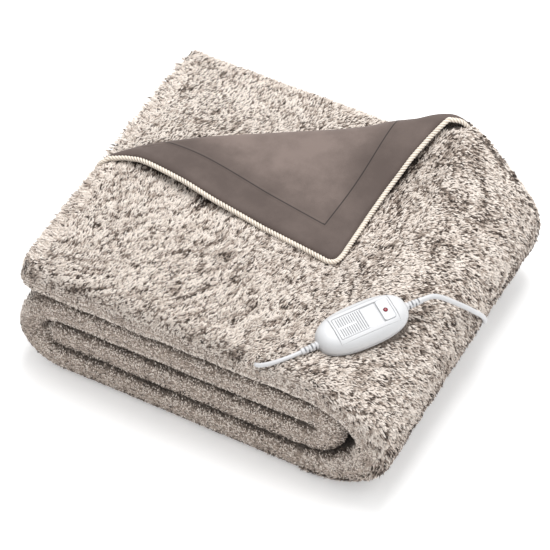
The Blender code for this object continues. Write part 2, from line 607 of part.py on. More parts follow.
def make_controller(place, plastic, blanket):
    """Base and cover, two open shells that meet at the parting line, with their cutters."""
    top = OUTSIDE[-1][0]
    base_rings = [outline_ring(inset, w) for w, inset in OUTSIDE if w <= PARTING]
    base_rings += [outline_ring(outside_inset(w) + WALL, w) for w in (PARTING, 0.0060, WALL)]
    base = held(lofted("controller_base", base_rings, plastic), place)

    cover_rings = [outline_ring(outside_inset(w) + WALL, w)
                   for w in (CAVITY_TOP, 0.0160, PARTING + GAP)]
    cover_rings += [outline_ring(0.0, PARTING + GAP)]
    cover_rings += [outline_ring(inset, w) for w, inset in OUTSIDE if w > PARTING]
    cover = held(lofted("controller_cover", cover_rings, plastic), place)

    from_u, to_u, half, floor = TRACK
    track = block("track_cutter", from_u, to_u, half, floor, top + 0.004, radius=0.0012)
    panel_seat = block("panel_cutter", to_u - 0.0015, PANEL[1] + GAP, PANEL[2] + GAP,
                       PANEL[3] - GAP, top + 0.004, radius=0.0032)
    slot = block("slot_cutter", STEM[0] - 0.0005, STEM[1] + TRAVEL + 0.0005, STEM[2] + 0.0004,
                 CAVITY_TOP - 0.003, floor + 0.001)
    well = lofted("lamp_cutter", round_rings(((0.0225, LAMP_RADIUS + GAP), (top, LAMP_RADIUS + GAP)),
                                             *LAMP_AT, 16, along_w=True), None)
    exits = [lofted("lead_cutter", round_rings(((0.045, 0.0045), (0.065, 0.0045)), 0.0, PARTING,
                                               16, turn=side), None) for side in (-1.0, 1.0)]
    for cutter in (track, panel_seat, slot, well):
        boolean(cover, as_cutter(held(cutter, place)), "DIFFERENCE")
    for cutter in exits:
        as_cutter(held(cutter, place))
        boolean(base, cutter, "DIFFERENCE")
        boolean(cover, cutter, "DIFFERENCE")

    seat_rings = [outline_ring(inset - GAP, w) for w, inset in OUTSIDE[1:]]
    seat_rings.insert(0, outline_ring(OUTSIDE[0][1] - GAP, -GAP))
    seat = held(lofted("seat_cutter", seat_rings, None), place)
    boolean(blanket, as_cutter(seat), "DIFFERENCE")


def make_slider(place, plastic):
    """The ribbed slide, its stem through the slot and the foot that keeps it in the track."""
    from_u, to_u, half, top = SLIDER
    middle = (from_u + to_u) / 2
    under = TRACK[3] + GAP
    rings = [rounded_ring(from_u + d - middle, to_u - d - middle, half - d, 0.0010, w - under)
             for w, d in ((under, 0.0), (top - 0.0006, 0.0), (top, 0.0006))]
    slider = held(lofted("slider", rings, plastic), place)
    slider.location = (middle, 0.0, under)
    stem = block("stem_part", STEM[0] - middle, STEM[1] - middle, STEM[2],
                 CAVITY_TOP - 0.0010 - under, 0.0010)
    foot = block("foot_part", FOOT[0] - middle, FOOT[1] - middle, FOOT[2],
                 CAVITY_TOP - 0.0018 - under, CAVITY_TOP - GAP - under)
    for part in (stem, foot):
        boolean(slider, as_cutter(held(part, slider)), "UNION")
    points, faces = [], []
    section = ((-0.00055, 0.001), (-0.00035, -0.0007), (0.00035, -0.0007), (0.00055, 0.001))
    for k in range(FULL_RIBS + SPLIT_RIBS):
        u = to_u - 0.0015 - RIB_PITCH * k - middle
        spans = ((-0.0122, 0.0122),) if k < FULL_RIBS else ((-0.0122, -0.0014), (0.0014, 0.0122))
        for span in spans:
            n = len(points)
            points += [(u + du, v, top - under + dw) for v in span for du, dw in section]
            faces += [(n, n + 1, n + 2, n + 3), (n + 4, n + 5, n + 6, n + 7)]
            faces += [(n + i, n + (i + 1) % 4, n + 4 + (i + 1) % 4, n + 4 + i) for i in range(4)]
    boolean(slider, as_cutter(held(mesh_object("rib_cutter", points, faces, None), slider)),
            "DIFFERENCE")
    return slider


def make_indicator(place, panel_finish, lamp_finish):
    """The panel beside the track and the domed lamp in its hole."""
    from_u, to_u, half, under, top = PANEL
    rings = [rounded_ring(from_u, to_u - d, half - d, 0.0030, w, steps=3)
             for w, d in ((under, 0.0), (top - 0.0003, 0.0), (top, 0.0003))]
    panel = held(lofted("indicator_panel", rings, panel_finish), place)
    hole = lofted("panel_hole", round_rings(((under - 0.001, LAMP_RADIUS + GAP),
                                             (top + 0.001, LAMP_RADIUS + GAP)),
                                            *LAMP_AT, 16, along_w=True), None)
    boolean(panel, as_cutter(held(hole, place)), "DIFFERENCE")
    dome = [(top + 0.0009 * math.sin(a), LAMP_RADIUS * math.cos(a)) for a in np.radians([0, 25, 50, 75])]
    held(lofted("lamp", round_rings([(0.0228, LAMP_RADIUS)] + dome, *LAMP_AT, 16, along_w=True),
                lamp_finish, smooth=60), place)


def make_relief(name, place, side, rubber):
    rings = round_rings(RELIEF, 0.0, PARTING, 10, turn=side)
    return held(lofted(name, rings, rubber), place)


# ---------------------------------------------------------------- leads and plug
def bar_rings(start, end, radius, sides=12):
    """Both end rings of a round bar from one point to another."""
    start, end = Vector(start), Vector(end)
    ahead = (end - start).normalized()
    side = ahead.cross(Vector((0, 0, 1))).normalized()
    up = side.cross(ahead)
    rings = []
    for centre in (start, end):
        rings.append(np.array([centre + radius * (side * math.cos(a) + up * math.sin(a))
                               for a in np.linspace(0, 2 * math.pi, sides, endpoint=False)]))
    return rings


def make_coil(finish, sides=10, steps=32):
    """The rest of the mains lead, rolled up: a ring with a rounded section."""
    half_width, half_height, middle = COIL_SECTION
    points = []
    for turn in np.linspace(0, 2 * math.pi, steps, endpoint=False):
        for a in np.linspace(0, 2 * math.pi, sides, endpoint=False):
            wide = math.copysign(abs(math.cos(a)) ** 0.8, math.cos(a))
            tall = math.copysign(abs(math.sin(a)) ** 0.8, math.sin(a))
            reach = COIL_RADIUS + half_width * wide
            points.append((COIL_AT[0] + reach * math.cos(turn), COIL_AT[1] + reach * math.sin(turn),
                           middle + half_height * tall))
    faces = []
    for i in range(steps):
        for k in range(sides):
            n, m = (i + 1) % steps, (k + 1) % sides
            faces.append((i * sides + k, i * sides + m, n * sides + m, n * sides + k))
    return mesh_object("mains_coil", points, faces, finish, smooth=60)


def make_plug(rubber, metal):
    """A flat two-pin plug on its side, pins away from the lead."""
    x, y, z = PLUG_AT
    rings = []
    for at, half_width, half_height, radius in PLUG:
        flat = rounded_ring(-half_height, half_height, half_width, radius, 0.0, steps=3)
        rings.append(np.column_stack([np.full(len(flat), x - at), y + flat[:, 1], z + flat[:, 0]]))
    body = lofted("plug_body", rings, rubber)
    radius, reach, apart, depth = PIN
    face = x - PLUG[-1][0]
    for name, side in (("pin_front", -1), ("pin_back", 1)):
        pin_y = y + side * apart
        hole = bar_rings((face + depth, pin_y, z), (face - 0.002, pin_y, z), radius + GAP)
        boolean(body, as_cutter(lofted(name + "_hole", hole, None)), "DIFFERENCE")
        rings = bar_rings((face + depth - GAP, pin_y, z), (face - reach + 0.0015, pin_y, z), radius)
        rings += bar_rings((face - reach, pin_y, z), (face - reach - 0.001, pin_y, z), radius * 0.55)[:1]
        lofted("plug_" + name, rings, metal)


def lead_points(route, spacing):
    """A short straight start out of the strain relief, then an even curve."""
    return np.vstack([route[0], smooth_curve(route[1:], spacing)])


def make_leads(finish, rubber, metal, blanket):
    tube("mains_lead", lead_points(MAINS_ROUTE, MAINS_SPACING), MAINS_LEAD, finish)
    tube("blanket_lead", lead_points(BLANKET_ROUTE, BLANKET_SPACING), BLANKET_LEAD, finish)
    tube("mains_lead_end", smooth_curve(TAIL_ROUTE, MAINS_SPACING), MAINS_LEAD, finish)
    inlet = lofted("inlet_cutter", bar_rings(*INLET), None)
    boolean(blanket, as_cutter(inlet), "DIFFERENCE")
    make_coil(finish)
    make_plug(rubber, metal)


def build():
    clear_scene()
    fur = material("fur_cloth", (0.55, 0.49, 0.43), 0.95)
    lining = material("lining_cloth", (0.17, 0.13, 0.12), 0.85)
    cream = material("cream_cord", (0.83, 0.76, 0.63), 0.75)
    shell = material("white_shell", (0.86, 0.86, 0.86), 0.30)
    slide = material("slide_white", (0.84, 0.84, 0.84), 0.38)
    window = material("panel_white", (0.78, 0.79, 0.80), 0.22)
    red = material("lamp_red", (0.42, 0.01, 0.03), 0.15)
    rubber = material("white_rubber", (0.82, 0.82, 0.81), 0.45)

    blanket = make_strip(fur)
    boolean(blanket, make_corner(), "UNION")
    make_lining(lining)
    make_piping(cream)

    place = controller_place()
    make_controller(place, shell, blanket)
    make_slider(place, slide)
    make_indicator(place, window, red)
    make_relief("strain_relief_mains", place, 1.0, rubber)
    make_relief("strain_relief_blanket", place, -1.0, rubber)

    cord = material("white_cord", (0.83, 0.83, 0.82), 0.50)
    nickel = material("nickel", (0.70, 0.69, 0.66), 0.25, metallic=1.0)
    make_leads(cord, rubber, nickel, blanket)


build()
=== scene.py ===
# %% [markdown]
# # A folded heated throw and its slide controller
#
# A long-pile throw lies folded on a pale table. One corner is turned over, so that its smooth lining and
# the twisted cord of its hem show, and the hand controller rests on the pile. The solids of the model
# give every size and place. This lesson gives each of them the surface that the real thing has: first
# the camera and the light, then the cloth, its pile, the lining, the hem, the controller and the leads.

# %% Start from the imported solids
import math

import bpy
import numpy as np
from mathutils import Matrix, Vector


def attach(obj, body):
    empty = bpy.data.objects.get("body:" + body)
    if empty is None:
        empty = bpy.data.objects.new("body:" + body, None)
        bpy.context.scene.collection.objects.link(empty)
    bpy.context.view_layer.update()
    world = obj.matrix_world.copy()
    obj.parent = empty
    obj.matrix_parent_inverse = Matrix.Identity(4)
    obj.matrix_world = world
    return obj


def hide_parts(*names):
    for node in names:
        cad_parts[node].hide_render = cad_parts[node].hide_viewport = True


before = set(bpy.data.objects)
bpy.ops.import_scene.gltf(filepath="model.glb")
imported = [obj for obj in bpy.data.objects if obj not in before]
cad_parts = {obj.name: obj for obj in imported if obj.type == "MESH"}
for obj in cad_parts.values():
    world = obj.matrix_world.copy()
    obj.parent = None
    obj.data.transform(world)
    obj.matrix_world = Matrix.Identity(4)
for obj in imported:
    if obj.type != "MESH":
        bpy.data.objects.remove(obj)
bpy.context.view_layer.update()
dice = np.random.default_rng(11)

# %% [markdown]
# ## Camera
#
# The throw is seen from its front right, from rather high up, through a long lens that hardly makes
# lines meet. A camera looks along its own -Z, so its three axes are the columns of its matrix: right,
# up, and back towards the viewer.

# %% Camera
AZIMUTH, ELEVATION = math.radians(28.13), math.radians(48.16)
DISTANCE = 3.647
LENS, SENSOR = 198.72, 36.0
AIM_HEIGHT, AIM_RIGHT, AIM_UP = 0.06, -0.0075, 0.0041
back = Vector((math.sin(AZIMUTH) * math.cos(ELEVATION), -math.cos(AZIMUTH) * math.cos(ELEVATION),
               math.sin(ELEVATION)))
right = Vector((math.cos(AZIMUTH), math.sin(AZIMUTH), 0.0))
up = back.cross(right)
aim = Vector((0.0, 0.0, AIM_HEIGHT)) + right * AIM_RIGHT + up * AIM_UP

camera = bpy.data.objects.new("camera", bpy.data.cameras.new("camera"))
camera.data.lens, camera.data.sensor_width = LENS, SENSOR
turned = Matrix((right, up, back)).transposed().to_4x4()
turned.translation = aim + back * DISTANCE
camera.matrix_world = turned
bpy.context.collection.objects.link(camera)
bpy.context.scene.camera = camera
print("camera at", [round(v, 3) for v in camera.location])

# %% [markdown]
# ## Floor and light
#
# A catalogue picture is lit from all round by white walls, with one large lamp overhead. The world does
# the walls' work. The large lamp stands behind and above the throw, so its front is a little darker
# than its top, and its shadow on the floor is short and soft. The table is lit from below as well, as a
# light table is. Such a picture is shown without a film curve, so that the floor comes out white.

# %% Floor and light
FLOOR_HALF = 4.0
WALL_LIGHT, THROW_MIDDLE = 0.84, Vector((0.0, 0.0, 0.08))
# name, place, power in watts, width
LAMPS = (("overhead", (-0.10, 0.50, 2.4), 42.0, 1.3), ("fill_right", (1.3, 0.4, 2.2), 5.0, 0.9))


def soft_lamp(name, place, power, width):
    """A square lamp that looks at the throw."""
    lamp = bpy.data.lights.new(name, "AREA")
    lamp.energy, lamp.size = power, width
    holder = bpy.data.objects.new(name, lamp)
    holder.location = place
    holder.rotation_euler = (THROW_MIDDLE - Vector(place)).to_track_quat("-Z", "Y").to_euler()
    bpy.context.collection.objects.link(holder)


floor_mesh = bpy.data.meshes.new("floor")
floor_mesh.from_pydata([(-FLOOR_HALF, -FLOOR_HALF, 0), (FLOOR_HALF, -FLOOR_HALF, 0),
                        (FLOOR_HALF, FLOOR_HALF, 0), (-FLOOR_HALF, FLOOR_HALF, 0)], [], [(0, 1, 2, 3)])
floor = bpy.data.objects.new("floor", floor_mesh)
bpy.context.collection.objects.link(floor)

world = bpy.data.worlds.new("studio")
world.use_nodes = True
world.node_tree.nodes["Background"].inputs["Color"].default_value = (1.0, 1.0, 1.0, 1.0)
world.node_tree.nodes["Background"].inputs["Strength"].default_value = WALL_LIGHT
bpy.context.scene.world = world
bpy.context.scene.view_settings.view_transform = "Standard"
for settings in LAMPS:
    soft_lamp(*settings)
print("lamps:", len(LAMPS), "floor:", 2 * FLOOR_HALF, "m")

# %% [markdown]
# ## Finishes are made of nodes
#
# Each finish is one Principled shader with a few nodes in front of it. The helpers below make a
# material, add a node with its settings, and join sockets. Two effects are used by several finishes, so
# they are node groups: a fine grain that tilts the surface a little, and soft mottling between 0 and 1.

# %% Helpers for finishes
def finish(name, roughness, **sockets):
    """A new material: its tree, its shader and a Texture Coordinate node."""
    made = bpy.data.materials.new(name)
    made.use_nodes = True
    shader = made.node_tree.nodes["Principled BSDF"]
    shader.inputs["Roughness"].default_value = roughness
    for socket, value in sockets.items():
        shader.inputs[socket.replace("_", " ")].default_value = value
    place = made.node_tree.nodes.new("ShaderNodeTexCoord")
    return made, made.node_tree, shader, place.outputs["Object"]


def add(tree, kind, inputs=(), **settings):
    """A node with its settings; each input is a value, or a socket that is joined to it."""
    made = tree.nodes.new("ShaderNode" + kind)
    for name, value in settings.items():
        setattr(made, name, value)
    for socket, value in dict(inputs).items():
        if isinstance(value, bpy.types.NodeSocket):
            tree.links.new(value, made.inputs[socket])
        else:
            made.inputs[socket].default_value = value
    return made


def colour_steps(tree, value, steps):
    """A colour ramp from rows of position and colour."""
    ramp = add(tree, "ValToRGB", {"Fac": value})
    bar = ramp.color_ramp
    while len(bar.elements) < len(steps):
        bar.elements.new(1.0)
    for stop, (at, colour) in zip(bar.elements, steps):
        stop.position, stop.color = at, (*colour, 1.0)
    return ramp.outputs["Color"]


def node_group(name, inputs, outputs):
    """An empty node group with its sockets: name, type and default of each."""
    group = bpy.data.node_groups.new(name, "ShaderNodeTree")
    for label, kind, value in inputs:
        socket = group.interface.new_socket(label, in_out="INPUT", socket_type="NodeSocket" + kind)
        if value is not None:
            socket.default_value = value
    for label, kind in outputs:
        group.interface.new_socket(label, in_out="OUTPUT", socket_type="NodeSocket" + kind)
    return group, group.nodes.new("NodeGroupInput"), group.nodes.new("NodeGroupOutput")


print("helpers: finish, add, colour_steps, node_group")

# %% Two shared effects
grain, ins, outs = node_group("fine_grain", [("Place", "Vector", None), ("Scale", "Float", 900.0),
                                             ("Depth", "Float", 0.1)], [("Normal", "Vector")])
dust = add(grain, "TexNoise", {"Vector": ins.outputs["Place"], "Scale": ins.outputs["Scale"],
                               "Detail": 2.0})
tilt = add(grain, "Bump", {"Height": dust.outputs["Fac"], "Strength": ins.outputs["Depth"],
                           "Distance": 0.0004})
grain.links.new(tilt.outputs["Normal"], outs.inputs["Normal"])

mottle, ins, outs = node_group("mottling", [("Place", "Vector", None), ("Scale", "Float", 60.0),
                                            ("From", "Float", 0.35), ("To", "Float", 0.65)],
                               [("Mask", "Float")])
cloud = add(mottle, "TexNoise", {"Vector": ins.outputs["Place"], "Scale": ins.outputs["Scale"],
                                 "Detail": 4.0, "Roughness": 0.6})
spread = add(mottle, "MapRange", {"Value": cloud.outputs["Fac"], "From Min": ins.outputs["From"],
                                  "From Max": ins.outputs["To"]}, interpolation_type="SMOOTHSTEP")
mottle.links.new(spread.outputs["Result"], outs.inputs["Mask"])


def mottled(tree, place, scale, **more):
    """The mottling's mask at a scale."""
    return add(tree, "Group", {"Place": place, "Scale": scale, **more}, node_tree=mottle).outputs["Mask"]


def coloured(tree, shader, value, *steps):
    """Colours a finish by a value, along rows of position and colour."""
    tree.links.new(colour_steps(tree, value, steps), shader.inputs["Base Color"])


def grained(tree, shader, place, scale, depth):
    """Gives a finish the fine grain."""
    tilted = add(tree, "Group", {"Place": place, "Scale": scale, "Depth": depth}, node_tree=grain)
    tree.links.new(tilted.outputs["Normal"], shader.inputs["Normal"])


def plain_finish(name, roughness, light, dark, mottle_scale, grain_scale, grain_depth, **sockets):
    """A finish of one colour that mottles to a second one, with a fine grain."""
    made, tree, shader, place = finish(name, roughness, **sockets)
    coloured(tree, shader, mottled(tree, place, mottle_scale), (0.0, dark), (1.0, light))
    grained(tree, shader, place, grain_scale, grain_depth)
    return made


table_top = plain_finish("pale_floor", 0.6, (0.93, 0.93, 0.93), (0.92, 0.92, 0.92), 3.0, 400.0, 0.02,
                         Emission_Color=(1.0, 1.0, 1.0, 1.0), Emission_Strength=0.24)
floor_mesh.materials.append(table_top)
print("groups:", [g.name for g in bpy.data.node_groups])

# %% [markdown]
# ## Surfaces from arrays
#
# Every new shape below is a grid of points worked out as whole numpy arrays. A grid becomes a mesh by
# naming, for each of its small squares, the four points at its corners. A tube-like grid wraps round in
# one direction and is closed at its two ends.

# %% Helpers for surfaces
def squares(rows, columns, wrap=False, flip=False):
    """The faces of a grid numbered row by row. wrap joins the last column to the first."""
    down = np.arange(rows - 1)[:, None]
    across = np.arange(columns if wrap else columns - 1)[None, :]
    beside = (across + 1) % columns
    corners = [down * columns + across, down * columns + beside,
               (down + 1) * columns + beside, (down + 1) * columns + across]
    faces = np.stack(np.broadcast_arrays(*corners), axis=-1).reshape(-1, 4)
    return faces[:, ::-1] if flip else faces


def border(rows, columns):
    """The numbers of a grid's border points, once round it."""
    index = np.arange(rows * columns).reshape(rows, columns)
    return np.concatenate([index[:-1, 0], index[-1, :-1], index[:0:-1, -1], index[0, :0:-1]])


def piece(name, points, faces, material, slot, body="blanket", sharp=None):
    """An object at the origin with its shape in its mesh, riding on a body."""
    mesh = bpy.data.meshes.new(name)
    mesh.from_pydata(np.asarray(points, float).reshape(-1, 3).tolist(), [], [list(f) for f in faces])
    mesh.materials.append(material)
    mesh.shade_smooth()
    if sharp:
        mesh.set_sharp_from_angle(angle=math.radians(sharp))
    made = bpy.data.objects.new(name, mesh)
    bpy.context.collection.objects.link(made)
    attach(made, body)
    return made


def closed_loft(name, rings, material, slot, flip=False, **more):
    """A skin over a row of closed rings (rows, points, 3), with both ends capped."""
    rows, count = rings.shape[:2]
    faces = squares(rows, count, wrap=True, flip=flip).tolist()
    first, last = list(range(count)), list(range((rows - 1) * count, rows * count))
    faces += [first, last[::-1]] if flip else [first[::-1], last]
    return piece(name, rings, faces, material, slot, **more)


def mark(made, label, values):
    """Keeps one value for each point of a piece, for its finish to read."""
    made.data.attributes.new(label, "FLOAT", "POINT").data.foreach_set("value", np.ravel(values))


print("a 3 by 3 grid has", len(squares(3, 3)), "squares")

# %% Helpers for lines and round things
def unit(vectors):
    """Vectors made one long."""
    return vectors / np.linalg.norm(vectors, axis=-1, keepdims=True)


def marks_along(path):
    """How far along a path each of its points is."""
    return np.concatenate([[0], np.cumsum(np.linalg.norm(np.diff(path, axis=0), axis=1))])


def round_angles(count, shift=0.0):
    """Even angles once round, moved on by a share of their spacing."""
    return 2 * math.pi * (np.arange(count) + shift) / count


def turned_profile(profile, angle):
    """Rows of (place on the axis, radius) turned about it: along, r cos(angle), r sin(angle)."""
    return profile[:, :1] + 0 * angle, profile[:, 1:] * np.cos(angle), profile[:, 1:] * np.sin(angle)


print("three points round:", np.round(round_angles(3), 2).tolist())

# %% [markdown]
# Soft things need soft numbers. Smoothstep goes from 0 to 1 without a kink, smooth noise is made of it,
# and a smooth curve through a few given points saves a long table.

# %% Helpers for soft shapes
NOISE_CELLS, CURVE_STEPS = 256, 24


def smoothstep(value):
    """0 below 0, 1 above 1, and 3 t^2 - 2 t^3 between."""
    t = np.clip(value, 0.0, 1.0)
    return t * t * (3 - 2 * t)


def lattice(s, t, cell_s, cell_t, seed):
    """Smooth noise from -1 to 1: random values on a lattice of cells, blended with smoothstep."""
    values = np.random.default_rng(seed).uniform(-1, 1, (NOISE_CELLS, NOISE_CELLS))
    s, t = np.asarray(s) / cell_s, np.asarray(t) / cell_t
    i, j = np.floor(s).astype(int), np.floor(t).astype(int)
    a, b = smoothstep(s - i), smoothstep(t - j)
    i, j = i % (NOISE_CELLS - 1), j % (NOISE_CELLS - 1)
    near = values[i, j] * (1 - b) + values[i, j + 1] * b
    far = values[i + 1, j] * (1 - b) + values[i + 1, j + 1] * b
    return near * (1 - a) + far * a


def through(points, count=None, spacing=None):
    """Even points along a smooth (Catmull-Rom) curve through the given ones.

    Between b and c, with a before and d after them, the curve at share t is half of
    2 b + (c - a) t + (2 a - 5 b + 4 c - d) t^2 + (3 b - a - 3 c + d) t^3.
    """
    knots = np.array(points, float)
    padded = np.vstack([2 * knots[0] - knots[1], knots, 2 * knots[-1] - knots[-2]])
    t = np.linspace(0, 1, CURVE_STEPS + 1)[:-1, None, None]
    a, b, c, d = padded[:-3], padded[1:-2], padded[2:-1], padded[3:]
    fine = 0.5 * (2 * b + (c - a) * t + (2 * a - 5 * b + 4 * c - d) * t ** 2
                  + (3 * b - a - 3 * c + d) * t ** 3)
    fine = np.vstack([fine.transpose(1, 0, 2).reshape(-1, knots.shape[1]), knots[-1:]])
    run = marks_along(fine)
    marks = np.linspace(0, run[-1], count or max(2, round(run[-1] / spacing) + 1))
    return np.stack([np.interp(marks, run, fine[:, k]) for k in range(knots.shape[1])], axis=1)


print("smoothstep of a quarter:", float(smoothstep(0.25)))

# %% [markdown]
# ## The folded strip
#
# The throw is first folded in three across, like a letter: a top panel, a bottom panel and a middle
# panel between them. That strip is then rolled inwards into four layers. So the whole cloth is one
# closed section carried along one bent line. The line is a table of straight stretches and half
# ellipses, and the section is a table of straight runs and bends. Both are arrays, and the section is
# placed at every point of the line at once.

# %% The strip's line
SHEET, SHEET_GAP, LAYER_GAP, DEPTH = 0.0126, 0.0011, 0.0020, 0.4250
STACK_LEFT, INNER_END_X = -0.2355, -0.2030
SHEET_PITCH = SHEET + SHEET_GAP
BUNDLE = 2 * SHEET_PITCH + SHEET
LAYER_PITCH = BUNDLE + LAYER_GAP
BOTTOM, THIRD, SECOND, TOP = (BUNDLE / 2 + LAYER_PITCH * k for k in range(4))
FRONT_FOLD_Y = -DEPTH / 2 + BUNDLE / 2
BACK_FOLD_Y = DEPTH / 2 - (SHEET_PITCH + SHEET) / 2
HEM_Y, INNER_HEM_Y = DEPTH / 2 - 0.0056, FRONT_FOLD_Y + 0.001
PINCH, PINCH_LENGTH = 0.62, 0.024
ROLL_LEFT, ROLL_RIGHT = np.array([-0.2360, -0.0060]), np.array([0.1350, 0.1994])
CLOTH_STEP, FOLD_STEP_SHARE = 0.0070, 0.7
PUFF_AND_SWAY, EASED_OVER = (5, 6), 15

STRETCHES = (
    # ends or centre x, centre z, reach x, reach z, fullness, puff, sway, free to rise
    (-0.2115, TOP, 0, 0, 1.0, 1.0, 0.0, 1),
    (0.1385, TOP, 0, 0, 1.0, 1.0, 0.0, 1),
    (0.1385, (TOP + BOTTOM) / 2, 0.0850, (TOP - BOTTOM) / 2, 1.08, 0.6, 0.0010, 1),
    (-0.1840, BOTTOM, 0, 0, 1.0, 0.0, 0.0020, 0),
    (-0.1840, (BOTTOM + SECOND) / 2, -0.0440, -LAYER_PITCH, 0.86, 0.6, 0.0005, 0),
    (0.1480, SECOND, 0, 0, 1.0, 0.0, 0.0030, 0),
    (0.1480, (SECOND + THIRD) / 2, LAYER_PITCH / 2, LAYER_PITCH / 2, 0.94, 0.0, 0.0040, 0),
    (INNER_END_X + PINCH_LENGTH, THIRD, 0, 0, 1.0, 0.0, 0.0025, 0),
    (INNER_END_X, THIRD, 0, 0, 1.0, 0.0, 0.0015, 0),
)


def strip_line(step):
    """Rows of x, z, outward x, outward z, fullness, puff, sway and free along the strip.

    A straight stretch is cut evenly. A fold is half an ellipse: x = centre + reach cos(turn),
    z = centre + reach sin(turn), with turn from +90 to -90 degrees, and its outward direction is the
    ellipse's own normal.
    """
    rows = [np.array([[STACK_LEFT, TOP, 0, 1, 1, 1, 0, 1]])]
    for x, z, reach_x, reach_z, full, puff, sway, free in STRETCHES:
        start = rows[-1][-1]
        if reach_x == 0:
            share = np.linspace(0, 1, max(3, round(abs(x - start[0]) / step)) + 1)[1:]
            place = [start[0] + (x - start[0]) * share, z, 0, start[3], full]
        else:
            length = math.pi * math.hypot(reach_x, reach_z) / math.sqrt(2)
            turn = np.linspace(math.pi / 2, -math.pi / 2, round(length / (FOLD_STEP_SHARE * step)) + 1)[1:]
            out = np.stack([np.cos(turn) / reach_x, np.sin(turn) / reach_z])
            out /= np.hypot(*out)
            place = [x + reach_x * np.cos(turn), z + reach_z * np.sin(turn), *out,
                     1 + (full - 1) * np.cos(turn)]
        rows.append(np.column_stack(np.broadcast_arrays(*place, puff, sway, free)))
    return np.concatenate(rows)


line = strip_line(CLOTH_STEP)
run = marks_along(line[:, :2])
eased = np.ones(EASED_OVER) / EASED_OVER
for column in PUFF_AND_SWAY:
    line[:, column] = np.convolve(np.pad(line[:, column], EASED_OVER // 2, mode="edge"), eased, "valid")
print("strip:", len(line), "stations,", round(run[-1], 3), "m long")

# %% [markdown]
# ## What bends the strip out of its plain shape
#
# The stack isn't a machine part: the panels are pinched together at the strip's ends, the top panel is
# held up by the turned corner and by the end of the roll, the middle panel puffs up where nothing lies
# on it, and the whole stack is crowned a little. Each of these is a smooth function of the place.

# %% Functions that shape the stack
# x, y, height, spread in y and before the middle in x, spread past the middle in x
RAISED = ((0.1380, 0.2050, 0.0460, 0.075, 0.056), (0.1960, -0.0700, 0.0090, 0.055, 0.055))
CROWN, CROWN_DOWN = 0.0022, 0.6
WAVE, WAVE_LENGTH, WAVE_START = 0.0012, 0.42, 0.9
BOW, BOW_LENGTH, BOW_TURN, BOW_TOP = 0.0016, 0.38, 3.0, 1.2
PANEL_RISE, PANEL_RISE_OVER, NEAR_HEM = 0.0090, 0.040, 0.045
FOLD_DIP, FOLD_DIP_OVER, HEM_RETURN = 0.0120, 0.140, 0.020


def lift(x, y):
    """A sum of bells: height exp(-(dx / spread)^2 - (dy / spread)^2)."""
    total = 0.0
    for at_x, at_y, height, before, past in RAISED:
        spread = np.where(x < at_x, before, past)
        total = total + height * np.exp(-((x - at_x) / spread) ** 2 - ((y - at_y) / before) ** 2)
    return total


def settle(x, y, z):
    """The crown and sway of the stack, growing from nothing at the floor.

    With h the height as a share of the stack's, z grows by (crown + wave) h, and y by bow h (1.2 - h).
    """
    height = z / TOP
    crown = CROWN * (np.cos(math.pi * y / DEPTH) - CROWN_DOWN)
    wave = WAVE * np.sin(2 * math.pi * x / WAVE_LENGTH + WAVE_START)
    bow = BOW * np.sin(2 * math.pi * x / BOW_LENGTH + BOW_TURN * height) * 2 * y / DEPTH
    sway = bow * height * (BOW_TOP - height)
    return np.stack(np.broadcast_arrays(x, y + sway, z + (crown + wave) * height), axis=-1)


def fold_dip(x):
    """The fold line of the corner drops to the front at its left end, by the square of the share."""
    share = np.maximum(0.0, 1 - (x - ROLL_LEFT[0]) / FOLD_DIP_OVER)
    return FOLD_DIP * share ** 2


def top_hem(x, z):
    """Where the top panel ends at the back: on the top layer it stops at the corner's fold line."""
    share = (x - ROLL_LEFT[0]) / (ROLL_RIGHT[0] - ROLL_LEFT[0])
    folded = ROLL_LEFT[1] + share * (ROLL_RIGHT[1] - ROLL_LEFT[1]) - fold_dip(x)
    past = HEM_Y - (HEM_Y - ROLL_RIGHT[1]) * np.exp(-((x - ROLL_RIGHT[0]) / HEM_RETURN) ** 2)
    return np.where(z < TOP - 1e-6, HEM_Y, np.where(x > ROLL_RIGHT[0], past, folded))


print("top panel is raised by", round(1e3 * float(lift(0.138, 0.199)), 1), "mm at the end of the roll")

# %% [markdown]
# ## The section of the letter fold
#
# Going once round the cloth: along the top panel to the front fold, round it, back along the bottom
# panel, round the back fold, along the middle panel to its hem, and the same way home on the lining's
# side. The names say which rows belong to which face, because the pile grows only on the fur side.

# %% The section's rows
ring_parts, parts_made = {}, []


def upright(values):
    """One number, or one for each station, as a column."""
    return np.asarray(values, float).reshape(-1, 1)


def straight(name, y_from, y_to, height, steps, on_top=0, on_middle=0):
    """Rows from one y to another at one height off the strip's middle."""
    share = np.linspace(0, 1, steps + 1)[1:]
    ys = upright(y_from) * (1 - share) + upright(y_to) * share
    parts_made.append((name, ys, height * np.ones(steps), on_top, on_middle * np.ones(steps)))


def bend(name, y, z, radius, start, end, steps, on_top=0, middle=(0, 0)):
    """Rows on an arc about (y, z), angles in degrees."""
    share = np.linspace(0, 1, steps + 1)[1:]
    angle = np.radians(start + (end - start) * share)
    ys = upright(y) + radius * np.cos(angle)
    parts_made.append((name, ys, z + radius * np.sin(angle), on_top,
                       middle[0] + (middle[1] - middle[0]) * smoothstep(share)))


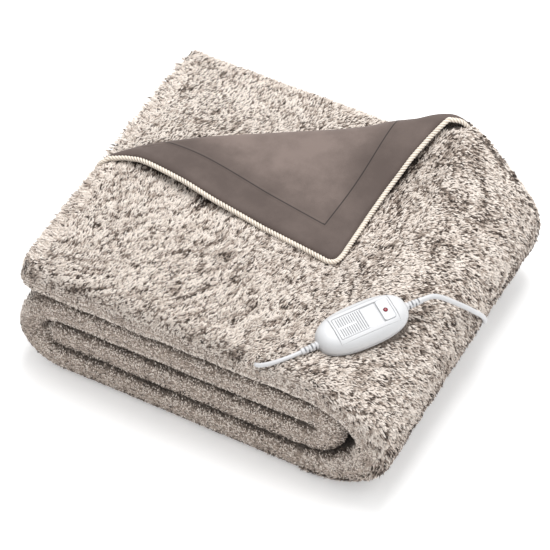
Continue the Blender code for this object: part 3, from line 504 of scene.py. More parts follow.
half = SHEET / 2
hem = top_hem(line[:, 0], line[:, 1])
straight("top", hem - half, hem - NEAR_HEM, SHEET_PITCH + half, 9, on_top=1)
straight("top", hem - NEAR_HEM, FRONT_FOLD_Y, SHEET_PITCH + half, 56, on_top=1)
bend("front", FRONT_FOLD_Y, 0, SHEET_PITCH + half, 90, 270, 24)
straight("bottom", FRONT_FOLD_Y, BACK_FOLD_Y, -SHEET_PITCH - half, 18)
bend("back", BACK_FOLD_Y, -SHEET_PITCH / 2, (SHEET_PITCH + SHEET) / 2, -90, 90, 14, middle=(0, 1))
straight("panel", BACK_FOLD_Y, INNER_HEM_Y, half, 40, on_middle=1)
bend("inside", INNER_HEM_Y, 0, half, 90, 270, 6)
straight("inside", INNER_HEM_Y, BACK_FOLD_Y, -half, 28, on_middle=1)
bend("inside", BACK_FOLD_Y, -SHEET_PITCH / 2, SHEET_GAP / 2, 90, -90, 3, middle=(1, 0))
straight("inside", BACK_FOLD_Y, FRONT_FOLD_Y, -SHEET_PITCH + half, 8)
bend("inside", FRONT_FOLD_Y, 0, SHEET_PITCH - half, 270, 90, 6)
straight("inside", FRONT_FOLD_Y, hem - NEAR_HEM, SHEET_PITCH - half, 12, on_top=1)
straight("inside", hem - NEAR_HEM, hem - half, SHEET_PITCH - half, 5, on_top=1)
bend("hem", hem - half, SHEET_PITCH, half, -90, 90, 8, on_top=1)

column = 0
for name, ys, *_ in parts_made:
    first = ring_parts.get(name, (column, column))[0]
    ring_parts[name] = (first, column + ys.shape[1])
    column += ys.shape[1]
print("section:", column, "points a ring;", {k: v for k, v in ring_parts.items() if k != "inside"})

# %% [markdown]
# The soft ripples of a long pile are thicker and thinner places in it. They are smooth noise on a
# lattice laid along and across the strip, stretched the way the pile has been stroked.

# %% The cloth's surface
RIPPLE, PUFF, STROKE = 0.0017, 0.0012, math.radians(52)
# share, length and width of a cell, seed
RIPPLES = ((0.65, 0.052, 0.017, 3), (0.35, 0.024, 0.010, 4))
PUFF_LENGTH, PUFF_WIDTH, PUFFS_FROM, PUFF_SLANT, SMOOTH_END = 0.171, 0.230, 0.050, (9, 5), 0.9
FRONT_OVER, FRONT_REACH, PINCH_PULL = 0.06, 0.08, 0.008


def ripple(along, across):
    """Two layers of stretched noise, turned to the direction of the stroke."""
    s = along * math.cos(STROKE) + across * math.sin(STROKE)
    t = across * math.cos(STROKE) - along * math.sin(STROKE)
    return sum(share * lattice(s + 9, t + 9, *cell) for share, *cell in RIPPLES)


def strip_place(rows, stations=slice(None)):
    """Places section rows (y, height, share of the top panel, share of the middle one, pile) in space.

    A row's height is pinched near the strip's ends by PINCH + (1 - PINCH) sqrt(1 - (1 - d)^2), with d
    the distance from the end as a share of PINCH_LENGTH. It is then laid off the line along the line's
    outward direction, raised, and settled.
    """
    y, height, on_top, on_middle, pile = rows
    x, z, out_x, out_z, full, puff, sway, free = (c[:, None] for c in line[stations].T)
    at = run[stations][:, None]
    end = np.minimum(at, run[-1] - at) / PINCH_LENGTH
    squeeze = PINCH + (1 - PINCH) * np.sqrt(np.clip(1 - (1 - np.minimum(end, 1)) ** 2, 0, 1))
    above = smoothstep((z + out_z * height) / PUFFS_FROM)
    wave = np.sin(2 * math.pi * at / PUFF_LENGTH + PUFF_SLANT[0] * y)
    wave = wave * np.cos(2 * math.pi * y / PUFF_WIDTH + PUFF_SLANT[1] * at)
    ripples = RIPPLE * ripple(at, y) * (end > SMOOTH_END)
    height = height + pile * above * (PUFF * puff * wave + ripples)
    near_front = np.maximum(0.0, (FRONT_FOLD_Y + FRONT_OVER - y) / FRONT_REACH)
    y = y + near_front * (sway + PINCH_PULL * (1 - squeeze) / (1 - PINCH))
    height = height * squeeze * full
    x, z = x + out_x * height, z + out_z * height
    rise = on_top * lift(x, y) + on_middle * PANEL_RISE * smoothstep(
        (y - hem[stations][:, None]) / PANEL_RISE_OVER)
    return settle(x, y, z + np.where((free > 0) & (out_z > 0), out_z * rise, 0.0))


ys = np.hstack([np.broadcast_to(y, (len(line), y.shape[1])) for _, y, *_ in parts_made])
heights, tops, middles, piled = (np.concatenate(c) for c in zip(*(
    (h, top * np.ones(len(h)), middle, (name in ("top", "front")) * np.ones(len(h)))
    for name, _, h, top, middle in parts_made)))
strip = strip_place((ys, heights, tops, middles, piled))
print("strip surface:", strip.shape, "lowest", round(strip[..., 2].min(), 4))

# %% [markdown]
# The ground of the pile is seen only between its locks. It is the same mix of cream and brown fibres,
# but painted a little darker as shade down among the roots, drawn by noise that is stretched along the
# pile. An attribute, set once the pile is planned, says how little light reaches a place, and the
# finish darkens the colour by it as painted shade.

# %% The ground of the pile
ground, tree, shader, place = finish("pile_ground", 0.95)
flow = add(tree, "Mapping", {"Vector": place, "Rotation": (0, 0, -STROKE), "Scale": (0.4, 1.0, 1.0)})
fibres = add(tree, "TexNoise", {"Vector": flow.outputs["Vector"], "Scale": 620.0, "Detail": 2.0,
                                "Roughness": 0.7})
fibre_colour = colour_steps(tree, fibres.outputs["Fac"], (
    (0.34, (0.10, 0.072, 0.056)), (0.48, (0.27, 0.215, 0.175)), (0.60, (0.44, 0.365, 0.310)),
    (0.74, (0.56, 0.475, 0.410))))
# Painted shade: the ground's colour is multiplied down where the attribute says little light gets in.
shade_reader = add(tree, "Attribute", attribute_name="painted_shade")
light = add(tree, "MapRange", {"Value": shade_reader.outputs["Fac"], "To Min": 1.0, "To Max": 0.26})
dimmed = add(tree, "Mix", {0: 1.0, 6: fibre_colour, 7: light.outputs["Result"]}, data_type="RGBA",
             blend_type="MULTIPLY")
tree.links.new(dimmed.outputs[2], shader.inputs["Base Color"])
tree.links.new(add(tree, "Bump", {"Height": fibres.outputs["Fac"], "Strength": 0.8,
                                  "Distance": 0.0015}).outputs["Normal"], shader.inputs["Normal"])
shader.inputs["Sheen Weight"].default_value = 0.2

blanket = closed_loft("blanket_sheet", strip, ground, "fur_cloth")
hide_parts("blanket_cloth")
print("blanket sheet:", len(blanket.data.polygons), "faces")

# %% [markdown]
# ## The turned corner
#
# Past the fold line the top panel goes over a soft roll and lies down on its own pile, lining up. Its
# middle line is worked out in the plane across the fold: an arc round the roll, then a height that
# falls off with the square of the distance. Its outline is a table of how far it reaches at each place
# along the fold, rounded at the corner's tip.

# %% The corner's tables
# Each row gives a place along the fold and the value there.
CORNER_EDGE = ((0.004, -0.0040), (0.030, 0.0040), (0.048, 0.0150), (0.100, 0.0580), (0.130, 0.0830),
               (0.270, 0.1840), (0.3117, 0.1065), (0.3305, 0.0765), (0.362, 0.0390), (0.384, 0.0175),
               (0.402, 0.0005), (0.436, -0.0030))
CORNER_ROUND, ROUND_SAMPLES = 0.0070, 9
EDGE_RAISE = ((0.004, 0.0), (0.045, 0.0085), (0.100, 0.0085), (0.190, 0.0), (0.436, 0.0))
ROLL_RADIUS = ((0.004, 0.0016), (0.030, 0.0045), (0.060, 0.0072), (0.120, 0.0100), (0.240, 0.0125),
               (0.337, 0.0140), (0.350, 0.0132), (0.374, 0.0098), (0.399, 0.0082), (0.412, 0.0070),
               (0.420, 0.0058), (0.428, 0.0040), (0.436, 0.0014))
ROLL_CLOTH, EDGE_CLOTH = 0.0092, 0.0056
CORNER_FULLNESS = ((0.004, 0.25), (0.040, 1.00), (0.390, 1.00), (0.418, 0.70), (0.436, 0.25))
REST_GAP, ROLL_FADE = 0.0016, 0.062
HEM_EXTRA, SHORTEST_REACH, START_SLOPE = 0.0024, -0.0030, 0.65
LINING, LINING_GAP = 0.0018, 0.0008
along = unit(ROLL_RIGHT - ROLL_LEFT)
across = np.array([along[1], -along[0]])


def table(rows, at):
    """Values between the rows of a table, along straight lines."""
    return np.interp(at, *zip(*rows))


print("the fold of the corner is", round(CORNER_EDGE[-1][0], 3), "m long")

# %% The corner's middle line
def corner_reach(runs):
    """The reach at each run, averaged over a short stretch, which rounds the tip."""
    around = CORNER_ROUND * np.linspace(-1, 1, ROUND_SAMPLES)
    near = table(CORNER_EDGE, runs[:, None] + around)
    near += np.minimum(0, runs[:, None] + around - CORNER_EDGE[0][0]) * START_SLOPE
    return np.maximum(near.mean(axis=1), SHORTEST_REACH)


def corner_middle(runs, share, turn):
    """q, z and thickness of the middle line: first the roll's angles, then shares of the reach.

    q is the distance from the fold. Round the roll, q = -r cos(turn) and z = middle + r (1 + sin(turn)).
    Past it, z = rest + (crest - rest) exp(-(q / ROLL_FADE)^2), where rest lies on the pile below.
    """
    foot = ROLL_LEFT + np.outer(runs, along)
    reach, radius = corner_reach(runs)[:, None] + HEM_EXTRA, table(ROLL_RADIUS, runs)[:, None]
    full, raised = table(CORNER_FULLNESS, runs)[:, None], table(EDGE_RAISE, runs)[:, None]
    middle = TOP + SHEET_PITCH + lift(foot[:, 0], foot[:, 1])[:, None]
    roll = [-radius * np.cos(turn), middle + radius * (1 + np.sin(turn)),
            ROLL_CLOTH * full * np.ones(len(turn))]
    q = reach * share
    here = foot[:, None] + q[..., None] * across
    cloth = full * (ROLL_CLOTH + (EDGE_CLOTH - ROLL_CLOTH) * share ** 2)
    rest = TOP + SHEET_PITCH + SHEET / 2 + lift(here[..., 0], here[..., 1]) + REST_GAP + cloth / 2
    crest = middle + 2 * radius
    flat = [q, rest + np.maximum(0, crest - rest) * np.exp(-(q / ROLL_FADE) ** 2) + raised * share, cloth]
    return [np.hstack([a, b]) for a, b in zip(roll, flat)]


def corner_space(runs, q, z):
    """From distance along the fold, distance across it and height, to a place in space."""
    foot = ROLL_LEFT + np.multiply.outer(runs, along)
    spot = foot[:, None] + q[..., None] * across
    return settle(spot[..., 0], spot[..., 1] - fold_dip(foot[:, :1]), z)


def offset_rows(q, z, distance):
    """The line moved to its left by a distance: its slope turned by a quarter gives the normal."""
    slope = np.stack([np.gradient(q, axis=1), np.gradient(z, axis=1)])
    slope /= np.hypot(*slope)
    return q - slope[1] * distance, z + slope[0] * distance


print("corner reaches", round(1e3 * corner_reach(np.array([0.27]))[0]), "mm from the fold")

# %% [markdown]
# The corner is two skins: the fur cloth below and, over it, the lining that runs round the roll. Both
# thin out in a quarter round towards the hem, where the cord sits against them.

# %% The corner's two skins
EDGE_ROUND, EDGE_SHARE, SKIN_GAP, LINING_LOW = 0.0085, 0.30, 0.0002, 0.0005
CORNER_STATIONS, FLAT_ROWS, ROLL_ROWS, CLOSER_AT_HEM = 165, 48, 22, 1.25
# the first rows of the roll have no lining
LINING_FROM = 6
runs = np.linspace(CORNER_EDGE[0][0], CORNER_EDGE[-1][0], CORNER_STATIONS)
share = 1 - (1 - np.linspace(0.02, 1, FLAT_ROWS)) ** CLOSER_AT_HEM
turn = np.radians(np.linspace(-88, 90, ROLL_ROWS))
q, z, cloth = corner_middle(runs, share, turn)
reach = corner_reach(runs)[:, None] + HEM_EXTRA
to_edge = np.clip((reach - q) / EDGE_ROUND, 0, 1)
rounded = EDGE_SHARE + (1 - EDGE_SHARE) * np.sqrt(1 - (1 - to_edge) ** 2)
low, mid, high = (offset_rows(q, z, distance * rounded) for distance in (
    -cloth / 2, cloth / 2 + SKIN_GAP, cloth / 2 + LINING_GAP + LINING))
corner_ring = np.concatenate([corner_space(runs, *mid), corner_space(runs, *low)[:, ::-1]], axis=1)
corner = closed_loft("turned_corner", corner_ring, ground, "fur_cloth", flip=True)
lined = slice(LINING_FROM, None)
lining_top = corner_space(runs, high[0][:, lined], high[1][:, lined])
underside = offset_rows(q, z, (cloth / 2 + LINING_LOW) * rounded)
lining_low = corner_space(runs, *(values[:, lined] for values in underside))
print("corner:", corner_ring.shape, "lining:", lining_top.shape)

# %% [markdown]
# ## The lining
#
# The underside is brushed microfibre: matt taupe, with faint cloudy patches where the nap lies another
# way. A line of stitching follows both edges of the corner, two fingers from the hem. How far each point
# is from the hem's two straight legs is kept as an attribute, so the stitching stays at its distance and
# turns its corner by itself. The thread lies in a shallow groove.

# %% Distance to the hem
STITCH_AT = 0.0345
# where the hem's straight legs begin and end, measured along the fold
LEGS = ((0.05, 0.262), (0.278, 0.352))
foot = runs[:, None] * np.ones_like(high[0][:, lined])
level = high[0][:, lined]
edge = np.column_stack([runs, corner_reach(runs)])
from_hem = []
for start, end in LEGS:
    a, b = edge[(edge[:, 0] > start) & (edge[:, 0] < end)][[0, -1]]
    way = unit(b - a)
    from_hem.append(np.abs((foot - a[0]) * way[1] - (level - a[1]) * way[0]))
from_hem = np.min(from_hem, axis=0)
print("points near the stitching:", int((np.abs(from_hem - STITCH_AT) < 0.002).sum()))

# %% [markdown]
# The colour is a sum of three masks, read off one ramp: clouds of the nap, fine specks of the fibres,
# and painted light that grows from the hem to the middle, so the middle of the corner is lighter and the
# band by the hem darker. The stitching is a thin dark line where the distance to the hem is right, and
# the cloth dips towards it.

# %% The lining's finish
suede, tree, shader, place = finish("brushed_lining", 0.85)
nap = mottled(tree, place, 16.0, From=0.10, To=0.90)
speck = add(tree, "TexNoise", {"Vector": place, "Scale": 1400.0, "Detail": 2.0})
tone = add(tree, "MapRange", {"Value": speck.outputs["Fac"], "To Min": -0.26, "To Max": 0.26})
speckled = add(tree, "Math", {0: nap, 1: tone.outputs["Result"]}, operation="ADD")
hem_reader = add(tree, "Attribute", attribute_name="from_hem")
# Painted light: the lining is lighter towards the corner's middle and darker near the hem.
inner = add(tree, "MapRange", {"Value": hem_reader.outputs["Fac"], "From Min": 0.015, "From Max": 0.085,
                               "To Min": -0.35, "To Max": 0.35}, interpolation_type="SMOOTHSTEP")
nap_and_painted_light = add(tree, "Math", {0: speckled.outputs["Value"], 1: inner.outputs["Result"]}, operation="ADD")
cloth_colour = colour_steps(tree, nap_and_painted_light.outputs["Value"], (
    (0.0, (0.082, 0.060, 0.052)), (0.5, (0.116, 0.087, 0.076)), (1.0, (0.185, 0.142, 0.125))))
off = add(tree, "Math", {0: hem_reader.outputs["Fac"], 1: STITCH_AT}, operation="SUBTRACT")
near = add(tree, "Math", {0: off.outputs["Value"]}, operation="ABSOLUTE")
line_mask = add(tree, "MapRange", {"Value": near.outputs["Value"], "From Min": 0.00035,
                                   "From Max": 0.0011, "To Min": 1.0, "To Max": 0.0},
                interpolation_type="SMOOTHSTEP")
stitched = add(tree, "Mix", {0: line_mask.outputs["Result"], 6: cloth_colour,
                             7: (0.022, 0.016, 0.014, 1.0)}, data_type="RGBA")
tree.links.new(stitched.outputs[2], shader.inputs["Base Color"])
groove = add(tree, "MapRange", {"Value": near.outputs["Value"], "From Max": 0.0045},
             interpolation_type="SMOOTHSTEP")
dent = add(tree, "Bump", {"Height": groove.outputs["Result"], "Strength": 0.7, "Distance": 0.0012})
fine = add(tree, "Bump", {"Height": nap_and_painted_light.outputs["Value"], "Strength": 0.25, "Distance": 0.0005,
                          "Normal": dent.outputs["Normal"]})
tree.links.new(fine.outputs["Normal"], shader.inputs["Normal"])
shader.inputs["Sheen Weight"].default_value = 0.25
shader.inputs["Sheen Roughness"].default_value = 0.45
shader.inputs["Sheen Tint"].default_value = (0.62, 0.54, 0.50, 1.0)
print("lining finish:", len(tree.nodes), "nodes")

# %% The lining's mesh
lining_ring = np.concatenate([lining_top, lining_low[:, ::-1]], axis=1)
lining = closed_loft("lining", lining_ring, suede, "lining_cloth", flip=True)
distance = np.concatenate([from_hem, from_hem[:, ::-1]], axis=1)
mark(lining, "from_hem", distance)
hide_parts("underside_lining")
print("lining:", len(lining.data.polygons), "faces")

# %% [markdown]
# ## The pile
#
# Long pile stands in locks: a few dozen fibres that cling together, thick at the root and pointed at
# the tip. Each lock is a leaf of four triangles with a ridge. A lock starts at a random place on the fur
# side, with more of them where there is more cloth, leans the way the pile is stroked, and has one tone
# between dark brown and cream. Dark locks come in small streaks, which gives the cloth its mottled look.
# The controller, the leads and the turned corner press the pile down, so few locks start beneath them.

# %% Where the controller and its leads lie
CONTROLLER_AT = np.array([0.1611, -0.1095, 0.1636])
CONTROLLER_AIM, CONTROLLER_TIPS = math.radians(56.0), (8.0, 8.0)
BODY_HALF, BODY_POWER = (0.0570, 0.0270), 2.6
tip_x, tip_y = (math.tan(math.radians(tip)) for tip in CONTROLLER_TIPS)
body_up = Vector((tip_x, -tip_y, 1.0)).normalized()
body_along = Vector((math.cos(CONTROLLER_AIM), math.sin(CONTROLLER_AIM), 0.0))
body_along.z = -(body_up.x * body_along.x + body_up.y * body_along.y) / body_up.z
body_along.normalize()
body_frame = np.array([body_along, body_up.cross(body_along), body_up])

MAINS_ROUTE = (
    (0.2064, -0.0461, 0.1774), (0.2092, -0.0420, 0.1776), (0.2145, -0.0350, 0.1770),
    (0.2215, -0.0275, 0.1715), (0.2285, -0.0180, 0.1605), (0.2348, -0.0070, 0.1465),
    (0.2402, 0.0040, 0.1325), (0.2450, 0.0150, 0.1175), (0.2483, 0.0259, 0.1030),
    (0.2487, 0.0385, 0.0850), (0.2474, 0.0480, 0.0690), (0.2430, 0.0580, 0.0545),
    (0.2350, 0.0690, 0.0400), (0.2240, 0.0810, 0.0268), (0.2110, 0.0950, 0.0150),
    (0.1990, 0.1120, 0.0068), (0.1930, 0.1330, 0.0036), (0.1910, 0.1600, 0.0033),
    (0.1910, 0.1900, 0.0033), (0.1890, 0.2200, 0.0033), (0.1810, 0.2500, 0.0033),
    (0.1670, 0.2760, 0.0033), (0.1470, 0.2930, 0.0033),
)
BLANKET_ROUTE = (
    (0.1189, -0.1759, 0.1714), (0.1167, -0.1792, 0.1712), (0.1111, -0.1870, 0.1706),
    (0.1035, -0.1962, 0.1697), (0.0962, -0.2030, 0.1680), (0.0880, -0.2078, 0.1654),
    (0.0806, -0.2089, 0.1621), (0.0740, -0.2048, 0.1586), (0.0690, -0.2000, 0.1560),
)
MAINS_LEAD, BLANKET_LEAD = 0.0062, 0.0052
print("controller axis:", np.round(body_frame[0], 4).tolist())

# %% Where locks may grow
BODY_REACH, ROUTE_SPACING = 0.030, 0.004
FOLD_START, FOLD_END, ROLL_MARGIN, BELOW_TOP = 0.004, 0.434, 0.002, 0.01


def oval_level(u, v, margin):
    """|u / a|^p + |v / b|^p: 1 on the controller's outline grown by a margin, more outside it."""
    return (np.abs(u) / (BODY_HALF[0] + margin)) ** BODY_POWER \
        + (np.abs(v) / (BODY_HALF[1] + margin)) ** BODY_POWER


def outside_of_body(points, margin):
    """True where a point is outside the controller's outline, or well above or below it."""
    u, v, w = ((points - CONTROLLER_AT) @ body_frame.T).T
    return (oval_level(u, v, margin) > 1) | (np.abs(w) > BODY_REACH)


def clear_of(points, route, distance):
    """True where a point is farther than a distance from a route's dense points."""
    keep = np.ones(len(points), bool)
    for spot in through(route, spacing=ROUTE_SPACING):
        keep &= ((points - spot) ** 2).sum(axis=1) > distance ** 2
    return keep


def past_corner(points):
    """How far a point of the top lies beyond the turned corner's hem, less than 0 beneath it."""
    flat = points[:, :2] - ROLL_LEFT
    flat = flat + np.stack([0 * flat[:, 0], fold_dip(points[:, 0])], axis=1)
    at, over = flat @ along, flat @ across
    reach = corner_reach(np.clip(at, CORNER_EDGE[0][0], CORNER_EDGE[-1][0]))
    beyond = over - reach - HEM_EXTRA
    outside = (at < FOLD_START) | (at > FOLD_END) | (over < -table(ROLL_RADIUS, at) - ROLL_MARGIN)
    return np.where(outside | (points[:, 2] < TOP - BELOW_TOP), 1.0, beyond)


print("controller's middle may hold pile:", bool(outside_of_body(CONTROLLER_AT[None], 0.0)[0]))

# %% [markdown]
# Random places on a grid surface: a square is picked by its area, a place in it by two random shares,
# and its normal is the cross product of its two sides.

# %% Random places on a grid
def scatter(surface, number, at, level):
    """Points, normals, side directions and cloth places (along, across) on a grid."""
    a, b, c = surface[:-1, :-1], surface[:-1, 1:], surface[1:, :-1]
    cross = np.cross(c - a, b - a)
    area = np.linalg.norm(cross, axis=-1).ravel()
    chosen = dice.choice(area.size, number, p=area / area.sum())
    i, j = np.unravel_index(chosen, a.shape[:2])
    s, t = dice.random((2, number, 1))
    d = surface[i + 1, j + 1]
    points = (a[i, j] * (1 - s) + c[i, j] * s) * (1 - t) + (b[i, j] * (1 - s) + d * s) * t
    normals = cross[i, j] / area[chosen][:, None]
    run_way = unit(c[i, j] - a[i, j])
    cloth_at = at[i] + (at[i + 1] - at[i]) * s[:, 0]
    cloth_level = level[i, j] + (level[i, j + 1] - level[i, j]) * t[:, 0]
    return points, normals, run_way, (cloth_at, cloth_level)


print("top panel:", round(run[-1] * DEPTH, 2), "square metres of strip")

# %% [markdown]
# A lock is a leaf that is folded along its middle: two triangles from the root to its widest place, two
# from there to the tip. All locks are made at once, from arrays of roots, directions and sizes.

# %% Tones and leaves
MEAN_TONE = 0.81
STREAKS = ((0.70, 0.0080, 0.0020, 21), (0.34, 0.0120, 0.0042, 22), (0.08, 0.050, 0.022, 23))
ROOT_DEPTH, FLOOR_GAP = 0.0012, 0.0006
WIDEST_AT, RIDGE_AT, RIDGE_RISE = 0.42, 0.48, 0.9


def streaks(s, t, angle):
    """Tone of the pile: a mean and three layers of noise in streaks along the angle."""
    u = s * np.cos(angle) + t * np.sin(angle) + 7
    v = t * np.cos(angle) - s * np.sin(angle) + 7
    tone = MEAN_TONE
    for strength, length, width, seed in STREAKS:
        tone = tone + strength * lattice(u, v, length, width, seed)
    return tone


def locks(points, normals, way, length, width, tone, lean):
    """Four triangles a lock, shaped like a folded leaf: root, both sides, ridge and tip.

    The leaf's axis is cos(lean) way + sin(lean) normal. Its sides are half a width out at WIDEST_AT of
    its length, and its ridge is RIDGE_RISE of a half width up at RIDGE_AT.
    """
    way = unit(way - normals * (way * normals).sum(axis=1)[:, None])
    side = np.cross(normals, way)
    c, s = np.cos(lean)[:, None], np.sin(lean)[:, None]
    axis, over = c * way + s * normals, c * normals - s * way
    reach, half = length[:, None] * axis, 0.5 * width[:, None]
    root = points - ROOT_DEPTH * normals
    widest = root + WIDEST_AT * reach
    corners = np.stack([root, widest - half * side, root + RIDGE_AT * reach + RIDGE_RISE * half * over,
                        widest + half * side, root + reach], axis=1)
    corners[..., 2] = np.maximum(corners[..., 2], FLOOR_GAP)
    first = 5 * np.arange(len(points))[:, None]
    faces = np.stack([first + [0, 1, 2], first + [0, 2, 3], first + [1, 4, 2], first + [2, 4, 3]], axis=1)
    return corners.reshape(-1, 3), faces.reshape(-1, 3), np.repeat(np.clip(tone, 0, 1), 5)


print("tone layers:", len(STREAKS))

# %% [markdown]
# A lock's colour depends on two numbers: its tone, and a painted-shade value that grows from the root
# to the tip and is lower on the lock's sides than on its ridge. Both are the coordinates of a UV map, so
# the whole colour chart of the pile fits one small square, however many locks there are. Near the root,
# and on its sides, every lock is painted darker as shade, as little light gets down there.

# %% The pile's finish
PALETTE = ((0.00, (0.036, 0.023, 0.016)), (0.18, (0.10, 0.068, 0.051)), (0.36, (0.31, 0.243, 0.198)),
           (0.55, (0.58, 0.492, 0.425)), (0.78, (0.75, 0.662, 0.590)), (1.00, (0.88, 0.798, 0.725)))
# for a leaf's root, side, ridge, side and tip: shift of the tone, and the painted-shade value, low at the
# root and sides, high on the ridge and tip
LEAF_CHART = np.array(((0, -0.012, 0, 0.012, 0), (0.02, 0.34, 0.80, 0.34, 0.98)))
CHART_FROM, CHART_WIDTH, CHART_EDGE = 0.02, 0.96, 0.004

pile, tree, shader, place = finish("long_pile", 0.80)
chart = add(tree, "UVMap", uv_map="pile_chart")
split = add(tree, "SeparateXYZ", {"Vector": chart.outputs["UV"]})
tones = colour_steps(tree, split.outputs["X"], PALETTE)
# Painted shade: the colour is multiplied down towards the root and on the lock's sides.
deep = add(tree, "MapRange", {"Value": split.outputs["Y"], "From Min": 0.10, "From Max": 0.80,
                              "To Min": 0.12, "To Max": 1.0})
dimmed = add(tree, "Mix", {0: 1.0, 6: tones, 7: deep.outputs["Result"]}, data_type="RGBA",
             blend_type="MULTIPLY")
tree.links.new(dimmed.outputs[2], shader.inputs["Base Color"])
shader.inputs["Sheen Weight"].default_value = 0.15


def pile_piece(name, shapes):
    """One piece from several sets of locks, with its colour chart as UV map."""
    points = np.concatenate([shape[0] for shape in shapes])
    shift = np.cumsum([0] + [len(shape[0]) for shape in shapes[:-1]])
    faces = np.concatenate([shape[1] + before for shape, before in zip(shapes, shift)])
    tone = np.concatenate([shape[2] for shape in shapes])
    made = piece(name, points, faces, pile, "fur_cloth")
    leaf_points = faces.ravel()
    tone_shift, lock_shade = LEAF_CHART[:, leaf_points % 5]
    across_chart = CHART_FROM + CHART_WIDTH * tone[leaf_points] + tone_shift
    chart = np.column_stack([np.clip(across_chart, CHART_EDGE, 1 - CHART_EDGE), lock_shade])
    for label in ("pile_chart", "OFBake"):
        made.data.uv_layers.new(name=label).data.foreach_set("uv", chart.ravel())
    return made


print("pile finish:", len(tree.nodes), "nodes,", len(PALETTE), "tones")

# %% [markdown]
# On the top and round the big fold the pile is long. On the fronts of the folds it is shorter, so it
# shows as fine grain there. Names for the strip's stations and the section's rows say where each grows.

# %% Stations and rows
# length and width of a lock
LONG, SHORT, TUFT = (0.0066, 0.0025), (0.0034, 0.0020), (0.0092, 0.0025)
BIG_FOLD_X, LEFT_FOLD_X, LEAD_GOES_IN = 0.1385, -0.1840, (0.0715, 0.0085)
BIG_FOLD_RUN, LEFT_FOLD_RUN = (0.36, 0.62), 0.75
top_rows, front_rows, back_rows, panel_rows, hem_rows = (
    slice(*ring_parts[part]) for part in ("top", "front", "back", "panel", "hem"))


def part_of(rows, shift, last):
    """Rows that begin a few before or after the start of some others and end before a given one."""
    return slice(rows.start + shift, last)


everywhere, strip_end = np.arange(len(line)), np.arange(4)
top_layer = line[:, 1] > TOP - 1e-6
is_top = np.flatnonzero(top_layer)
past_middle = line[:, 0] > BIG_FOLD_X - 1e-6
big_fold = np.flatnonzero(past_middle & (run > BIG_FOLD_RUN[0]) & (run < BIG_FOLD_RUN[1]))
left_fold = np.flatnonzero((line[:, 0] < LEFT_FOLD_X) & (run > LEFT_FOLD_RUN))
entry = np.flatnonzero((np.abs(line[:, 0] - LEAD_GOES_IN[0]) < LEAD_GOES_IN[1]) & top_layer)
outside = np.concatenate([is_top, big_fold])
outer, inner = np.split(everywhere, [big_fold[-1] + 1])
print("stations on top:", len(is_top), "round the big fold:", len(big_fold))

# %% [markdown]
# Where two layers of the stack meet, hardly any light gets in. A place is in such a crevice when it is
# inside the ovals that the outer folds draw on the front, and faces up or down; undersides that face down
# and to the front count a little too. The pile is painted darker there as shade, and so is its ground,
# which keeps the painted shade as an attribute.

# %% Crevices
BIG_OVAL, LEFT_OVAL, LEFT_OVAL_TOP = (0.106, 0.083), (0.064, 0.062), 0.13
INSIDE_FROM, INSIDE_OVER = 0.97, 0.08
FACES_UP, FACES_DOWN = (0.50, 0.45), (0.55, 0.35)
UNDERSIDE_SHADE, UNDERSIDE_SHADE_OVER = 0.25, 0.6
HEM_SHADOW, BARE_GROUND_SHADE, CORNER_GROUND_SHADE, FRONT_FROM = (0.009, 0.006), 0.62, 0.85, 4


def in_crevice(points, normals):
    """Painted shade: 1 where two layers of cloth meet, 0 on the middle of a fold and all over the outside,
    some on undersides.
    """
    x, z = points[:, 0], points[:, 2]
    right = np.hypot(np.maximum(x - BIG_FOLD_X, 0) / BIG_OVAL[0], (z - BIG_OVAL[1]) / BIG_OVAL[1])
    left = np.hypot(np.minimum(x - LEFT_FOLD_X, 0) / LEFT_OVAL[0], (z - LEFT_OVAL[1]) / LEFT_OVAL[1])
    left = left * (z < LEFT_OVAL_TOP)
    reach = np.where(x < LEFT_FOLD_X, np.maximum(left, right), right)
    covered = smoothstep((INSIDE_FROM - reach) / INSIDE_OVER)
    above = smoothstep((normals[:, 2] - FACES_UP[0]) / FACES_UP[1])
    below = smoothstep((-normals[:, 2] - FACES_DOWN[0]) / FACES_DOWN[1])
    # Painted shade on undersides that face down and to the front.
    under = UNDERSIDE_SHADE * smoothstep(-normals[:, 2] / UNDERSIDE_SHADE_OVER) * (normals[:, 1] < 0)
    return np.maximum(covered * np.maximum(above, below), under)


strip_normals = unit(np.cross(*np.gradient(strip, axis=(0, 1))))
strip_normals *= -np.sign(strip_normals[:, front_rows, 1].mean())
flat_points, flat_normals = strip.reshape(-1, 3), strip_normals.reshape(-1, 3)
in_shadow = smoothstep((HEM_SHADOW[0] - past_corner(flat_points)) / HEM_SHADOW[1])
dark = np.maximum(in_crevice(flat_points, flat_normals), in_shadow)
on_front = np.zeros(strip.shape[:2])
on_front[:, part_of(front_rows, FRONT_FROM, front_rows.stop)] = 1
# Painted shade on the ground: in crevices, in the shadow beside the corner's hem, and among the locks away
# from the fronts.
mark(blanket, "painted_shade", np.maximum(dark, BARE_GROUND_SHADE * (1 - on_front.ravel())))
# Painted shade all over the turned corner's fur cloth, which lies in shadow beneath its lining and cord.
mark(corner, "painted_shade", np.full(len(corner.data.vertices), CORNER_GROUND_SHADE))
print("darkest ground covers", round(float((dark > 0.5).mean()), 2), "of the sheet's points")

# %% [markdown]
# A field of locks is grown on some stations and rows. Chance gives each lock its place, a turn to the
# side, its size, its lean and its tone. Locks are left out beneath the controller, beside the leads,
# under the corner and deep in a crevice.

# %% What a lock's tone depends on
TONE_SPREAD, DARK_LOCK, DARK_SHARE, DARK_SHARE_SHORT = 0.12, 0.55, 0.10, 0.11
